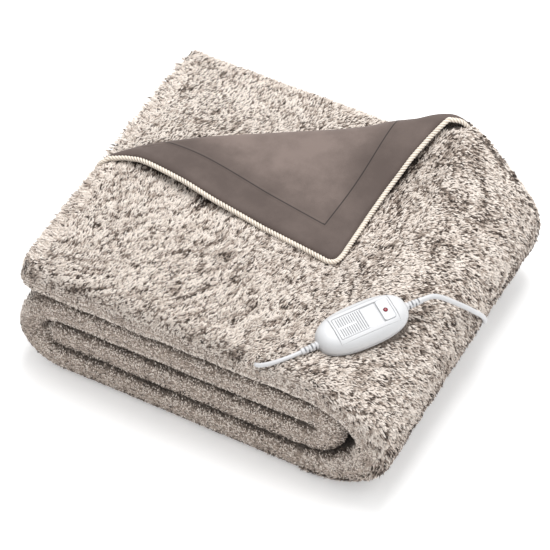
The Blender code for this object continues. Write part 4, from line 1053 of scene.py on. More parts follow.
# Painted shade darkens the tone in crevices, on the big fold's low side and by the corner's hem; painted
# light raises it on open short locks, and the ripples raise and lower it.
CREVICE_SHADE, OPEN_LIGHT, LOW_SIDE_SHADE, PAINTED_HEM_SHADOW = 0.80, 0.12, 0.55, 0.55
RIPPLE_LIGHT, RIPPLE_LIGHT_FROM, PANEL_LIGHTER, PAINTED_HEM_SHADOW_OVER = 0.14, 0.12, 0.18, (0.011, 0.007)
LOW_FACING, LOW_HEIGHT = (0.45, 0.7), (0.125, 0.06)


def low_side(points, normals):
    """Where the big fold gets painted shade: 1 where it turns down towards the floor, 0 on its upper half.
    """
    turned_down = smoothstep((LOW_FACING[0] - normals[:, 2]) / LOW_FACING[1])
    return turned_down * smoothstep((LOW_HEIGHT[0] - points[:, 2]) / LOW_HEIGHT[1])


def lock_tones(points, normals, places, flow, kind, deep, beyond, on_panel):
    """Streaks and chance, less painted shade in crevices, on low sides and by the corner's hem, plus painted
    light in the open and painted light and shade over ripples.
    """
    number = len(points)
    tone = streaks(*places, flow) + dice.normal(0, TONE_SPREAD, number) - CREVICE_SHADE * deep
    share = DARK_SHARE_SHORT if kind == SHORT else DARK_SHARE
    tone -= DARK_LOCK * (dice.random(number) < share) + LOW_SIDE_SHADE * low_side(points, normals)
    tone += OPEN_LIGHT * (kind == SHORT) * (1 - deep) + PANEL_LIGHTER * on_panel
    tone += RIPPLE_LIGHT * ripple(*places) * (points[:, 2] > RIPPLE_LIGHT_FROM)
    return tone - PAINTED_HEM_SHADOW * smoothstep((PAINTED_HEM_SHADOW_OVER[0] - beyond) / PAINTED_HEM_SHADOW_OVER[1])


print("dark locks:", DARK_SHARE, "of the long ones")

# %% A field of locks
SIDE_WAYS, SIZES, LEAN_SPREAD, LEANS = 0.35, (0.75, 1.25), 0.18, (0.12, 1.4)
BODY_MARGIN, BODY_LOOK, CLEAR_OF_MAINS, CLEAR_OF_BLANKET = 0.0005, 0.004, 0.0042, 0.0034
UNDER_HEM, UNDER_TOP_HEM, CREVICE_LIMITS = 0.004, 0.008, (0.45, 1.3)


def has_room(points, normals, beyond, on_panel):
    """True where neither the controller, a lead, the turned corner nor the top panel is in the way."""
    keep = clear_of(points, MAINS_ROUTE, CLEAR_OF_MAINS)
    keep &= clear_of(points, BLANKET_ROUTE[:-3], CLEAR_OF_BLANKET)
    for rise in (0.0, BODY_LOOK):
        keep &= outside_of_body(points + rise * normals, BODY_MARGIN)
    in_view = points[:, 1] > top_hem(points[:, 0], TOP) - UNDER_TOP_HEM
    return keep & (beyond > -UNDER_HEM) & (in_view if on_panel else True)


def grow(stations, rows, number, kind, angle, lean):
    """Locks of one kind on some stations and rows of the strip, growing at an angle to its run."""
    surface, level = strip[stations][:, rows], ys[stations][:, rows]
    points, normals, way, places = scatter(surface, number, run[stations], level)
    normals = normals * np.sign((normals * (points - [0, 0, TOP / 2])).sum(axis=1).mean())
    flow = angle(*places, points)
    turn = (flow + dice.normal(0, SIDE_WAYS, number))[:, None]
    other = np.cross(normals, way)
    other *= np.sign(other[:, 1:2] + 1e-9)
    headed = np.cos(turn) * way + np.sin(turn) * other
    beyond, on_panel = past_corner(points), rows == panel_rows
    keep = has_room(points, normals, beyond, on_panel)
    length, width = np.array(kind)[:, None] * dice.uniform(*SIZES, (2, number))
    tilt = np.clip(dice.normal(lean, LEAN_SPREAD, number), *LEANS)
    deep = in_crevice(points, normals) * (kind == SHORT)
    keep &= deep < dice.uniform(*CREVICE_LIMITS, number)
    tone = lock_tones(points, normals, places, flow, kind, deep, beyond, on_panel)
    return locks(*(values[keep] for values in (points, normals, headed, length, width, tone, tilt)))


print("locks vary in size from", SIZES[0], "to", SIZES[1])

# %% [markdown]
# The pile is stroked across the top and turns to follow the big fold. On the fronts it points into the
# stack, at the strip's end it hangs over, and a small tuft falls over the place where the lead goes in.

# %% Directions of growth
TURNS_FROM, TURNS_OVER = 0.02, 0.17
TOP_TURN, LESS_TURN, TOP_SWAY, LESS_SWAY = 0.85, 0.80, 0.45, 0.2


def stroke(s, t, points):
    """The pile runs across the top at an angle and turns to follow the big fold."""
    past = smoothstep((points[:, 0] - TURNS_FROM) / TURNS_OVER)
    sway = (TOP_SWAY - LESS_SWAY * past) * lattice(s + 5, t + 5, 0.075, 0.045, 31)
    return TOP_TURN - LESS_TURN * past + sway


def wander(turn, sway=0.0, cell=0.02, seed=33):
    """A direction of growth: one angle to the strip's run, and soft noise about it."""
    return lambda s, t, points: turn + sway * lattice(s, t + 5, cell, cell, seed)


into_stack, over_end, draping = wander(1.3, 1.2), wander(math.pi), wander(-1.5, 1.0, 0.01, 34)
print("the pile crosses the top at", round(math.degrees(TOP_TURN)), "degrees")

# %% Grow the pile
over_front = slice(top_rows.start, front_rows.start + 9)
# for each piece, its fields: stations, rows, number of locks, kind, direction, lean
FIELDS = {
    "pile_top": ((is_top, over_front, 43500, LONG, stroke, 0.50),
                 (entry, part_of(front_rows, -3, front_rows.start + 6), 300, TUFT, draping, 0.50)),
    "pile_fold": ((big_fold, over_front, 42500, LONG, stroke, 0.50),),
    "pile_front": ((outer, part_of(front_rows, 7, front_rows.stop), 16600, SHORT, into_stack, 0.50),
                   (inner, front_rows, 30000, SHORT, into_stack, 0.50)),
    "pile_back": ((outside, part_of(back_rows, 5, back_rows.stop + 1), 9500, LONG, stroke, 0.45),
                  (big_fold, part_of(hem_rows, 2, hem_rows.stop + 1), 2600, LONG, stroke, 0.45),
                  (everywhere, back_rows, 7500, SHORT, into_stack, 0.7)),
    "pile_rest": ((left_fold, top_rows, 8000, LONG, stroke, 0.45),
                  (strip_end, top_rows, 2600, TUFT, over_end, 0.25),
                  (strip_end, panel_rows, 2000, TUFT, over_end, 0.20),
                  (is_top, panel_rows, 34000, LONG, stroke, 0.5)),
}
piles = [pile_piece(name, [grow(*field) for field in fields]) for name, fields in FIELDS.items()]
for made in piles:
    print(made.name, len(made.data.polygons), "faces")

# %% [markdown]
# ## The twisted cord in the hem
#
# The hem of the whole throw holds a cord of three twisted strands, sewn between the pile cloth and the
# lining. It comes up the end of the strip, follows the edge of the turned corner, goes over the end of
# the roll and runs on along the back hem, where the pile hangs over it.

# %% The cord's path
PIPING, GAP, SPACING = 0.0050, 0.0003, 0.0010
PIPING_TO_CORNER = ((-0.2380, -0.0250, 0.1540), (-0.2364, -0.0228, 0.1598), (-0.2330, -0.0205, 0.1655))
PIPING_TO_HEM = ((0.1225, 0.1880, 0.2195), (0.1280, 0.1925, 0.2195), (0.1370, 0.1975, 0.2165),
                 (0.1435, 0.2005, 0.2090), (0.1465, 0.2070, 0.1985), (0.1520, 0.2087, 0.1945),
                 (0.1600, 0.2087, 0.1925))
RIM_END, SHOWS_FROM_X, SUNK, HEM_DROP = 0.396, 0.166, 0.001, 0.004
beside = PIPING / 2 + GAP
row_rise = SHEET_PITCH * PINCH
end_x = STACK_LEFT - beside


def leg(y_from, y_to, z, count):
    """Even places along the end of the strip at one height."""
    return np.column_stack([np.full(count, end_x), np.linspace(y_from, y_to, count), np.full(count, z)])


def turn_of(y, z, radius, start, end, count):
    """Places on an arc at the end of the strip, angles in degrees."""
    angle = np.radians(np.linspace(start, end, count))
    return np.column_stack([np.full(count, end_x), y + radius * np.cos(angle), z + radius * np.sin(angle)])


print("the cord lies", round(1e3 * beside, 2), "mm off the cloth's edge")

# %% The cord's whole way
BACK_ROOM, FRONT_ROOM, TURN_ROOM, LEAVES_AT_Y = 0.010, 0.016, 0.009, -0.032
front_turn = 0.85 * row_rise
up_the_end = np.vstack([
    leg(INNER_HEM_Y, BACK_FOLD_Y - BACK_ROOM, TOP, 8),
    turn_of(BACK_FOLD_Y, TOP - row_rise / 2, row_rise / 2, 90, -90, 5),
    leg(BACK_FOLD_Y - BACK_ROOM, FRONT_FOLD_Y + FRONT_ROOM, TOP - row_rise, 8),
    turn_of(FRONT_FOLD_Y + TURN_ROOM, TOP - 0.001, front_turn, 270, 110, 6),
    leg(FRONT_FOLD_Y + FRONT_ROOM, LEAVES_AT_Y, TOP + front_turn - 0.003, 6)])
rim_runs = np.linspace(runs[0], RIM_END, 60)
rim = np.column_stack([rim_runs, corner_reach(rim_runs) + HEM_EXTRA])
slope = unit(np.gradient(rim, axis=0))
rim_level = corner_middle(rim_runs, np.array([1.0]), np.zeros(0))[1][:, 0]
rim = rim + np.column_stack([-slope[:, 1], slope[:, 0]]) * beside
round_corner = np.vstack([corner_space(rim[i:i + 1, 0], rim[i:i + 1, 1:2], rim_level[i:i + 1, None])[0]
                          for i in range(len(rim))])
back_hem = strip_place((np.full((len(line), 1), HEM_Y + beside - SUNK), np.array([SHEET_PITCH - HEM_DROP]),
                        np.array([1.0]), np.array([0.0]), np.array([0.0])))[:, 0]
past_fold = np.arange(len(line)) >= np.argmax(line[:, 0] > SHOWS_FROM_X)
past_fold &= run < run[-1] - 0.99 * PINCH_LENGTH
cord_path = through(np.vstack([settle(*up_the_end.T), PIPING_TO_CORNER, round_corner[1:-1], PIPING_TO_HEM,
                               back_hem[past_fold]]), spacing=SPACING)
print("hem cord:", round(SPACING * len(cord_path), 2), "m, rings:", len(cord_path))

# %% [markdown]
# A ring of the cord is three soft lobes, r = R (1 - k + k |cos(1.5 (angle - twist))|), and the twist
# grows along the path by one turn in every lay length. The strands meet in valleys, where the cosine is
# small; that value is kept as an attribute, and the finish paints the valleys dark as painted shade.

# %% The cord's surface
LAY, LOBE, ROUND, FULLER = 0.0122, 0.36, 12, 0.0007


def along_path(path, rings_u, rings_v):
    """Points round a path: u and v are measured along two directions across it."""
    way = unit(np.gradient(path, axis=0))
    side = unit(np.cross(way, np.ones(3)))
    over = np.cross(way, side)
    return path[:, None] + rings_u[..., None] * side[:, None] + rings_v[..., None] * over[:, None]


cream, tree, shader, place = finish("cream_cord", 0.75)
valley_shade = add(tree, "Attribute", attribute_name="ridge")
# Painted shade in the valleys between the strands, and painted light on their crests.
coloured(tree, shader, valley_shade.outputs["Fac"], (0.05, (0.17, 0.118, 0.080)),
         (0.42, (0.62, 0.53, 0.43)), (0.90, (0.84, 0.77, 0.68)))
grained(tree, shader, place, 2200.0, 0.5)
shader.inputs["Sheen Weight"].default_value = 0.2

angle = round_angles(ROUND)
twist = 2 * math.pi * SPACING * np.arange(len(cord_path))[:, None] / LAY
ridge = np.abs(np.cos(1.5 * (angle - twist)))
radius = (PIPING / 2 + FULLER) * (1 - LOBE + LOBE * ridge)
rope = closed_loft("hem_cord", along_path(cord_path, radius * np.cos(angle), radius * np.sin(angle)),
                   cream, "cream_cord")
mark(rope, "ridge", ridge)
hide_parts("piping")
print("hem cord:", len(rope.data.polygons), "faces")

# %% [markdown]
# ## The controller's case
#
# The case is two mouldings of glossy white plastic that meet in a fine joint half way up. Its outline is
# a superellipse, |u/a|^p + |v/b|^p = 1, between an ellipse and a rectangle. The side is one curve of
# height against how far the outline is drawn in. Inside the cover's middle, a fine grid carries the
# sunk track of the slide and the seat of the panel; outside it, rays run down the curve to the joint.

# %% The case's curve
PARTING = 0.0110
# height, and how far the outline is drawn in there
OUTSIDE = ((0.0000, 0.0054), (0.0020, 0.0027), (0.0060, 0.0007), (PARTING, 0.0000), (0.0160, 0.0005),
           (0.0200, 0.0018), (0.0240, 0.0046), (0.0264, 0.0080), (0.0275, 0.0125), (0.0280, 0.0190))
# from u, to u, half width, height of the floor or top; the panel has its seat's height before its top
TRACK = (-0.0340, 0.0220, 0.0140, 0.0254)
SLIDER = (-0.0337, 0.0025, 0.0137, 0.0272)
PANEL = (0.0220, 0.0363, 0.0137, 0.0265, 0.0281)
LAMP_AT, LAMP_RADIUS = (0.0285, -0.0010), 0.0025
RIB_PITCH, FULL_RIBS, SPLIT_RIBS = 0.0028, 4, 8
RAY_RINGS, CROWN_END = 20, (0.0281, 0.0268)
curve = through((*OUTSIDE, CROWN_END), count=240)
upper, lower = curve[curve[:, 0] > PARTING + GAP / 2], curve[curve[:, 0] < PARTING - GAP / 2]
upper_run = marks_along(upper)


def placed(uvw):
    """From the controller's own frame to a place in space."""
    return CONTROLLER_AT + np.asarray(uvw) @ body_frame


def inset_at(u, v):
    """How far in a plan place is, by halving: the outline drawn in by that much passes through it."""
    low, high = np.zeros_like(u), np.full_like(u, CROWN_END[1])
    for _ in range(24):
        middle = (low + high) / 2
        inside = oval_level(u, v, -middle) < 1
        low, high = np.where(inside, middle, low), np.where(inside, high, middle)
    return low


def outline(angle, inset):
    """Plan places of the drawn-in outline in the given directions."""
    c, s = np.cos(angle), np.sin(angle)
    reach = oval_level(c, s, -inset) ** (-1 / BODY_POWER)
    return reach * c, reach * s


def off_box(u, v, from_u, to_u, half, corner):
    """Distance from a rectangle with round corners, less than 0 inside it."""
    du = np.abs(u - (from_u + to_u) / 2) - (to_u - from_u) / 2 + corner
    dv = np.abs(v) - half + corner
    return np.hypot(np.maximum(du, 0), np.maximum(dv, 0)) + np.minimum(np.maximum(du, dv), 0) - corner


def sink(height, distance, floor, wall=0.0004):
    """Lowers a height to a floor where the distance is less than 0, over a steep wall."""
    share = np.clip(0.5 - distance / wall, 0, 1)
    return np.minimum(height, height + (floor - height) * share)


print("case curve:", len(upper), "points above the joint,", len(lower), "below")

# %% [markdown]
# Glossy white plastic looks grey where its walls stand steep or a joint lets no light out. An attribute
# marks those lines, and the finish paints them grey: painted shade on the track's walls and in the
# slide's grooves, and thin dark lines at the joints round the slide and the panel, so they read as
# clearly as on the real thing.

# %% White plastic
shell, tree, shader, place = finish("white_shell", 0.38, Specular_IOR_Level=0.35, Coat_Weight=0.08)
marks = add(tree, "Attribute", attribute_name="shade")
clean = add(tree, "MapRange", {"Value": mottled(tree, place, 40.0), "To Max": 0.03})
level = add(tree, "Math", {0: marks.outputs["Fac"], 1: clean.outputs["Result"]}, operation="ADD")
coloured(tree, shader, level.outputs["Value"], (0.0, (0.62, 0.625, 0.635)), (1.0, (0.16, 0.165, 0.175)))
grained(tree, shader, place, 2600.0, 0.05)


def band(distance, half_width):
    """1 on a line, 0 from a half width away."""
    return np.clip(1.3 - np.abs(distance) / half_width, 0, 1)


print("plastic:", len(tree.nodes), "nodes")

# %% The cover's middle
TRACK_CORNER, SEAT_CORNER, SEAT_OVERLAP = 0.0012, 0.0032, 0.0015
EDGE_LINE, TRACK_SHADE, SEAT_SHADE = 0.0004, 0.38, 0.26
# from, to, number of points
MIDDLE_U, MIDDLE_V = (-0.0366, 0.0392, 172), (-0.0186, 0.0186, 84)
u, v = np.meshgrid(np.linspace(*MIDDLE_U), np.linspace(*MIDDLE_V), indexing="ij")
inset = inset_at(u, v)
w = np.interp(inset, upper[:, 1], upper[:, 0])
track = off_box(u, v, *TRACK[:3], TRACK_CORNER)
seat = off_box(u, v, TRACK[1] - SEAT_OVERLAP, PANEL[1] + GAP, PANEL[2] + GAP, SEAT_CORNER)
w = sink(sink(w, track, TRACK[3]), seat, PANEL[3] - GAP)
# Painted shade on the track's walls.
track_line = TRACK_SHADE * band(track, EDGE_LINE) * (u < TRACK[1] + EDGE_LINE)
shade = np.maximum(track_line, SEAT_SHADE * band(seat, EDGE_LINE))
print("middle of the cover:", u.shape, "points, lowest at", round(1e3 * float(w.min()), 2), "mm")

# %% [markdown]
# The grid's border is one closed loop of points. Each of them starts a ray outwards, down the curve to
# the joint, and a last ring turns inwards as the joint's lip. The base is a loft of whole outlines.

# %% The cover and the base
LIP_INSET, BASE_POINTS = 0.0022, 160
rows, columns = u.shape
loop = border(rows, columns)
angle = np.arctan2(v.ravel()[loop], u.ravel()[loop])
share = 1 - np.linspace(0, 1, RAY_RINGS + 1)[1:, None]
ray_run = np.interp(inset.ravel()[loop], upper[:, 1], upper_run) * share
ray_inset, ray_w = (np.interp(ray_run, upper_run, upper[:, k]) for k in (1, 0))
rays = np.stack([*outline(angle, ray_inset), ray_w], axis=-1)
lip = np.stack([*outline(angle, LIP_INSET), np.full(len(angle), upper[0, 0])], axis=-1)
points = np.concatenate([np.stack([u, v, w], axis=-1).reshape(-1, 3), rays.reshape(-1, 3), lip])
outer_index = rows * columns + np.arange((RAY_RINGS + 1) * len(loop))
ring_index = np.vstack([loop, outer_index.reshape(RAY_RINGS + 1, -1)])
following = np.roll(ring_index, -1, axis=1)
around = np.stack([ring_index[:-1], following[:-1], following[1:], ring_index[1:]], axis=-1)
skirt = around[..., ::-1].reshape(-1, 4).tolist()
faces = squares(rows, columns).tolist() + skirt + [ring_index[-1].tolist()]
cover = piece("case_cover", placed(points), faces, shell, "white_shell")
mark(cover, "shade", np.concatenate([shade.ravel(), np.zeros(len(points) - shade.size)]))
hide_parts("controller_cover")

angle = round_angles(BASE_POINTS)
heights, insets = np.vstack([lower[::3], lower[-1:], (lower[-1, 0], LIP_INSET)]).T[..., None]
base_rings = np.stack([*outline(angle, insets), heights + 0 * angle], axis=-1)
base = closed_loft("case_base", placed(base_rings), shell, "white_shell")
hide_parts("controller_base")
print("cover:", len(cover.data.polygons), "base:", len(base.data.polygons), "faces")

# %% [markdown]
# The slide and the indicator panel are blocks of one kind: a grid with round corners for the top, and
# plain walls below it.

# %% A block with a shaped top
def block_top(name, from_u, to_u, half, corner, low, height, amount, material, slot, body, counts):
    """A block with round corners whose top follows a height, with its sides and its flat underside.

    A grid point past a corner's centre is pulled back onto the corner's arc.
    """
    u, v = np.meshgrid(np.linspace(from_u, to_u, counts[0]), np.linspace(-half, half, counts[1]),
                       indexing="ij")
    middle = (from_u + to_u) / 2
    past = np.stack([np.abs(u - middle) - (to_u - from_u) / 2 + corner, np.abs(v) - half + corner])
    reach = np.hypot(*np.maximum(past, 0))
    pull = np.where((past > 0).all(axis=0), np.maximum(reach - corner, 0) / np.maximum(reach, 1e-9), 0)
    u, v = u - np.sign(u - middle) * past[0] * pull, v - np.sign(v) * past[1] * pull
    edge = -off_box(u, v, from_u, to_u, half, corner)
    top = np.stack([u, v, height(u, v, edge)], axis=-1)
    loop = border(*u.shape)
    foot = top.reshape(-1, 3)[loop] * [1, 1, 0] + [0, 0, low]
    below = u.size + np.arange(len(loop))
    sides = np.stack([loop, np.roll(loop, -1), np.roll(below, -1), below], axis=-1)[:, ::-1]
    made = piece(name, placed(np.vstack([top.reshape(-1, 3), foot])),
                 squares(*u.shape).tolist() + sides.tolist() + [below.tolist()],
                 material, slot, body, sharp=50)
    mark(made, "shade", np.concatenate([amount(u, v, edge).ravel(), np.zeros(len(loop))]))
    return made


print("a block takes its height and its shade as functions of the place")

# %% [markdown]
# The slide is a flat block with twelve grooves across it for the thumb: four over its whole width, and
# eight that leave a bridge in the middle. It lies in the track with a fine gap all round.

# %% The slide
RIB_START, RIB_HALF, RIB_REACH, BRIDGE_HALF, RIB_FADE = 0.0015, 0.00048, 0.0122, 0.0012, 0.0003
RIB_DEPTH, EDGE_DROP, EDGE_OVER = 0.0007, 0.0006, 0.0006
RIB_SHADE, RIM_SHADE, RIM_WIDTH = 0.72, 0.20, 0.0002


def rib_lines(u, v):
    """How far a place is inside a groove of the slide, from 0 to 1."""
    order = (SLIDER[1] - RIB_START - u) / RIB_PITCH
    nearest = np.round(order)
    in_line = np.clip(1.4 - np.abs(order - nearest) * RIB_PITCH / RIB_HALF, 0, 1)
    reach = np.clip((RIB_REACH - np.abs(v)) / RIB_FADE, 0, 1)
    bridge = np.where(nearest >= FULL_RIBS, np.clip((np.abs(v) - BRIDGE_HALF) / RIB_FADE, 0, 1), 1)
    return in_line * reach * bridge * ((nearest >= 0) & (nearest < FULL_RIBS + SPLIT_RIBS))


def slide_height(u, v, edge):
    """The slide's top, less its grooves and a chamfer at its edge."""
    return SLIDER[3] - RIB_DEPTH * rib_lines(u, v) - EDGE_DROP * (1 - np.clip(edge / EDGE_OVER, 0, 1))


def slide_shade(u, v, edge):
    """Painted shade in the grooves, and a dark line at the very edge, where the slide meets the track."""
    return np.maximum(RIB_SHADE * rib_lines(u, v), RIM_SHADE * (edge < RIM_WIDTH))


slide_plastic = shell.copy()
slide_plastic.name = "slide_white"
slider = block_top("slide", *SLIDER[:3], 0.0010, TRACK[3] + GAP, slide_height, slide_shade,
                   slide_plastic, "slide_white", "heat_slide", (200, 44))
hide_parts("slider")
print("slide:", len(slider.data.polygons), "faces, grooves:", FULL_RIBS + SPLIT_RIBS)

# %% [markdown]
# The indicator panel is a smooth block in its seat, with a round dip for the lamp.

# %% The indicator panel
PANEL_CHAMFER, LAMP_DIP, LAMP_GAP = 0.0003, 0.0010, 0.0002


def panel_height(u, v, edge):
    """The panel's top, less a chamfer at its edge and a dip round the lamp."""
    in_dip = np.hypot(u - LAMP_AT[0], v - LAMP_AT[1]) < LAMP_RADIUS + LAMP_GAP
    return PANEL[4] - PANEL_CHAMFER * (1 - np.clip(edge / PANEL_CHAMFER, 0, 1)) - LAMP_DIP * in_dip


panel_plastic, tree, shader, place = finish("panel_white", 0.34, Specular_IOR_Level=0.35, Coat_Weight=0.08)
coloured(tree, shader, mottled(tree, place, 60.0), (0.0, (0.56, 0.57, 0.585)), (1.0, (0.58, 0.59, 0.60)))
panel = block_top("window", *PANEL[:3], 0.0030, PANEL[3], panel_height, lambda u, v, edge: 0 * u,
                  panel_plastic, "panel_white", "blanket", (44, 76))
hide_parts("indicator_panel")
print("panel:", len(panel.data.polygons), "faces")

# %% [markdown]
# The lamp is a small dome of red plastic: dark red and glossy, as it is switched off.

# %% The lamp
LAMP_FOOT, LAMP_SUNK, LAMP_RISE, LAMP_POINTS = 0.0228, 0.0001, 0.0010, 32
red, tree, shader, place = finish("lamp_red", 0.30, Coat_Weight=0.3, Coat_Roughness=0.05)
coloured(tree, shader, mottled(tree, place, 500.0), (0.0, (0.17, 0.001, 0.010)), (1.0, (0.24, 0.002, 0.016)))
rise = np.radians(np.linspace(0, 84, 9))
profile = np.vstack([[[LAMP_FOOT, LAMP_RADIUS]], np.column_stack([
    PANEL[4] - LAMP_SUNK + LAMP_RISE * np.sin(rise), LAMP_RADIUS * np.cos(rise)])])
level, u, v = turned_profile(profile, round_angles(LAMP_POINTS))
rings = np.stack([LAMP_AT[0] + u, LAMP_AT[1] + v, level], axis=-1)
lamp = closed_loft("lamp_dome", placed(rings), red, "lamp_red", sharp=60)
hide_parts("lamp")
print("lamp:", len(lamp.data.polygons), "faces")

# %% [markdown]
# ## Strain reliefs
#
# A soft sleeve holds each lead where it leaves the case. Four grooves let it bend; they are deep, so
# they are painted dark as shade, darkest over two opposite stretches of each groove, turned a quarter
# from one groove to the next. It is turned about its own axis, at the height of the joint.

# %% The sleeves
SLEEVE_POINTS, FIRST_GROOVE, GROOVE_ROWS = 36, 6, (6, 7, 10, 11, 14, 15, 18, 19)
# distance from the case's middle, radius
RELIEF = (
    (0.0514, 0.0056), (0.0529, 0.0056), (0.0529, 0.0042), (0.0575, 0.0042), (0.0575, 0.0049),
    (0.0596, 0.0048), (0.0602, 0.0040), (0.0614, 0.0040), (0.0620, 0.0046),
    (0.0638, 0.0045), (0.0644, 0.0038), (0.0656, 0.0038), (0.0662, 0.0043),
    (0.0680, 0.0043), (0.0686, 0.0037), (0.0698, 0.0037), (0.0704, 0.0041),
    (0.0722, 0.0041), (0.0728, 0.0036), (0.0740, 0.0036), (0.0746, 0.0039), (0.0780, 0.0036),
)
rubber, tree, shader, place = finish("white_rubber", 0.42)
marks = add(tree, "Attribute", attribute_name="shade")
coloured(tree, shader, marks.outputs["Fac"], (0.0, (0.60, 0.60, 0.61)), (1.0, (0.12, 0.125, 0.135)))
grained(tree, shader, place, 1800.0, 0.12)
sleeve = np.array(RELIEF)
order = np.arange(len(sleeve))[:, None]
in_groove = np.isin(order, GROOVE_ROWS).astype(float)
angle = round_angles(SLEEVE_POINTS, shift=0.5)
out, v, w = turned_profile(sleeve, angle)
slit = np.cos(2 * angle + math.pi * np.floor((order - FIRST_GROOVE) / 4)) > -0.2
for name, side, node in (("sleeve_mains", 1.0, "strain_relief_mains"),
                         ("sleeve_blanket", -1.0, "strain_relief_blanket")):
    rings = np.stack([side * out, v, PARTING + w], axis=-1)
    made = closed_loft(name, placed(rings), rubber, "white_rubber", sharp=40, flip=side < 0)
    # Painted shade in the grooves, darkest in the stretches that take turns round the sleeve.
    mark(made, "shade", in_groove * np.where(slit, 0.9, 0.25))
    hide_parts(node)
print("sleeve rings:", len(sleeve))

# %% [markdown]
# ## The leads
#
# A short lead goes from the case into the cloth, under the pile. The mains lead leaves over the side of
# the stack. A throw like this has about 1.7 m of it, so what the picture doesn't show lies wound up
# behind the stack: three turns inwards on the table, then up, and two turns outwards on top of them,
# each turn beside the one before. The end runs straight off the coil to the plug. In polar form about
# the coil's centre, radius and height are tables of the angle.

# %% The mains lead's line
COIL_AT, COIL_RADIUS, COIL_STEP, SOFT_OVER = (0.0850, 0.2680), 0.0330, 6.0, 5
PLUG_AT = (-0.0033, 0.3012, 0.0071)
COIL_TURNS = (
    # angle in degrees, steps of a lead's width from the coil's middle radius, height
    (47, 2.0, 0.0046), (71, 1.45, 0.0036), (95, 1.0, 0.0033), (407, 1.0, 0.0033), (455, 0.0, 0.0033),
    (767, 0.0, 0.0033), (815, -1.0, 0.0033), (1060, -1.0, 0.0033), (1125, -1.0, 0.0096),
    (1370, -1.0, 0.0096), (1420, 0.0, 0.0096), (1730, 0.0, 0.0096), (1780, 1.0, 0.0096),
    (1880, 1.0, 0.0096),
)
at_angle, steps_out, height = np.array(COIL_TURNS).T
turned = np.arange(at_angle[0], at_angle[-1], COIL_STEP)
away = COIL_RADIUS + MAINS_LEAD * np.interp(turned, at_angle, steps_out)
raised = np.interp(turned, at_angle, height)
soft = np.ones(SOFT_OVER) / SOFT_OVER
away, raised = (np.convolve(np.pad(values, SOFT_OVER // 2, mode="edge"), soft, "valid")
                for values in (away, raised))
coil = np.column_stack([COIL_AT[0] + away * np.cos(np.radians(turned)),
                        COIL_AT[1] + away * np.sin(np.radians(turned)), raised])
TAIL_ROUTE = ((0.0700, 0.3066, 0.0084), (0.0540, 0.3048, 0.0056), (0.0380, 0.3030, 0.0040),
              (0.0220, 0.3016, 0.0048), (0.0080, 0.3012, 0.0066), PLUG_AT)
mains_line = through(np.vstack([MAINS_ROUTE[:-1], coil[2:], TAIL_ROUTE]), spacing=0.0030)

# %% The leads as curves
jacket = plain_finish("white_cord", 0.40, (0.60, 0.60, 0.61), (0.57, 0.57, 0.58), 30.0, 1500.0, 0.08)


def lead(name, path, diameter):
    """A curve of one straight-sided spline with a round section."""
    shape = bpy.data.curves.new(name, "CURVE")
    shape.dimensions = "3D"
    shape.bevel_depth, shape.bevel_resolution, shape.use_fill_caps = diameter / 2, 4, True
    spline = shape.splines.new("POLY")
    spline.points.add(len(path) - 1)
    spline.points.foreach_set("co", np.column_stack([path, np.ones(len(path))]).ravel())
    shape.materials.append(jacket)
    made = bpy.data.objects.new(name, shape)
    bpy.context.collection.objects.link(made)
    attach(made, "blanket")
    return made


mains = lead("mains_cord", mains_line, MAINS_LEAD)
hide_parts("mains_lead", "mains_coil", "mains_lead_end")
short_line = through(BLANKET_ROUTE, spacing=0.0020)
short = lead("blanket_cord", short_line, BLANKET_LEAD)
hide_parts("blanket_lead")

# %% [markdown]
# ## The plug
#
# A flat two-pin plug of the same soft plastic: a neck, a waist and a flat head. Its sections are
# rectangles with large round corners, blended along the plug. The pins are nickel-plated brass.

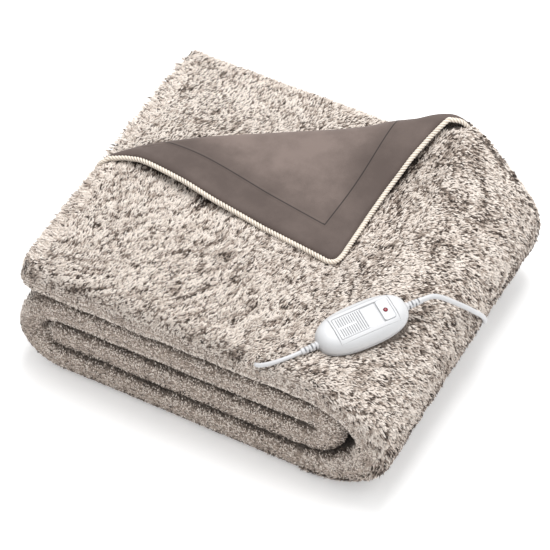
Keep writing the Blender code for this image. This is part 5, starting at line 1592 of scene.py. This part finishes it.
# %% The plug
# distance from the lead's end, half width, half height, corner radius
PLUG = ((0.0000, 0.0037, 0.0037, 0.0034), (0.0120, 0.0045, 0.0045, 0.0042),
        (0.0150, 0.0085, 0.0062, 0.0040), (0.0220, 0.0126, 0.0068, 0.0045),
        (0.0330, 0.0130, 0.0068, 0.0045), (0.0375, 0.0126, 0.0066, 0.0045),
        (0.0380, 0.0116, 0.0058, 0.0040))
PIN_RADIUS, PIN_REACH, PIN_APART, PIN_DEPTH = 0.0020, 0.0190, 0.0093, 0.0050
NOSE_LENGTH, PIN_POINTS = 0.0010, 24
sections = through(PLUG, count=40)
corner_turn = np.radians(np.arange(0, 360, 10) + 5)
c, s = np.cos(corner_turn), np.sin(corner_turn)
at, half_width, half_height, corner_radius = (sections[:, k:k + 1] for k in range(4))
rings = np.stack([PLUG_AT[0] - at + 0 * c,
                  PLUG_AT[1] + np.sign(c) * (half_width - corner_radius) + corner_radius * c,
                  PLUG_AT[2] + np.sign(s) * (half_height - corner_radius) + corner_radius * s], axis=-1)
plug = closed_loft("plug", rings, rubber, "white_rubber", flip=True)
mark(plug, "shade", np.zeros(rings.shape[:2]))
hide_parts("plug_body")
print("plug:", len(plug.data.polygons), "faces")

# %% The pins
nickel = plain_finish("nickel", 0.24, (0.70, 0.69, 0.66), (0.64, 0.63, 0.60), 300.0, 2000.0, 0.06,
                      Metallic=1.0)
face_x = PLUG_AT[0] - PLUG[-1][0]
nose = np.radians(np.linspace(0, 80, 7))
pin_profile = np.vstack([[[face_x + PIN_DEPTH - GAP, PIN_RADIUS]], np.column_stack([
    face_x - PIN_REACH + NOSE_LENGTH - 2 * NOSE_LENGTH * np.sin(nose), PIN_RADIUS * np.cos(nose)])])
out, beside_axis, over_axis = turned_profile(pin_profile, round_angles(PIN_POINTS))
for name, side in (("pin_front", -1), ("pin_back", 1)):
    rings = np.stack([out, PLUG_AT[1] + side * PIN_APART + beside_axis, PLUG_AT[2] + over_axis], axis=-1)
    closed_loft(name, rings, nickel, "nickel", flip=True, sharp=50)
    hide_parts("plug_" + name)

# %% [markdown]
# ## The end
#
# All pieces are now built: the cloth, its pile, the corner and its lining, the hem cord, the controller,
# the leads and the plug.

print("all pieces built")
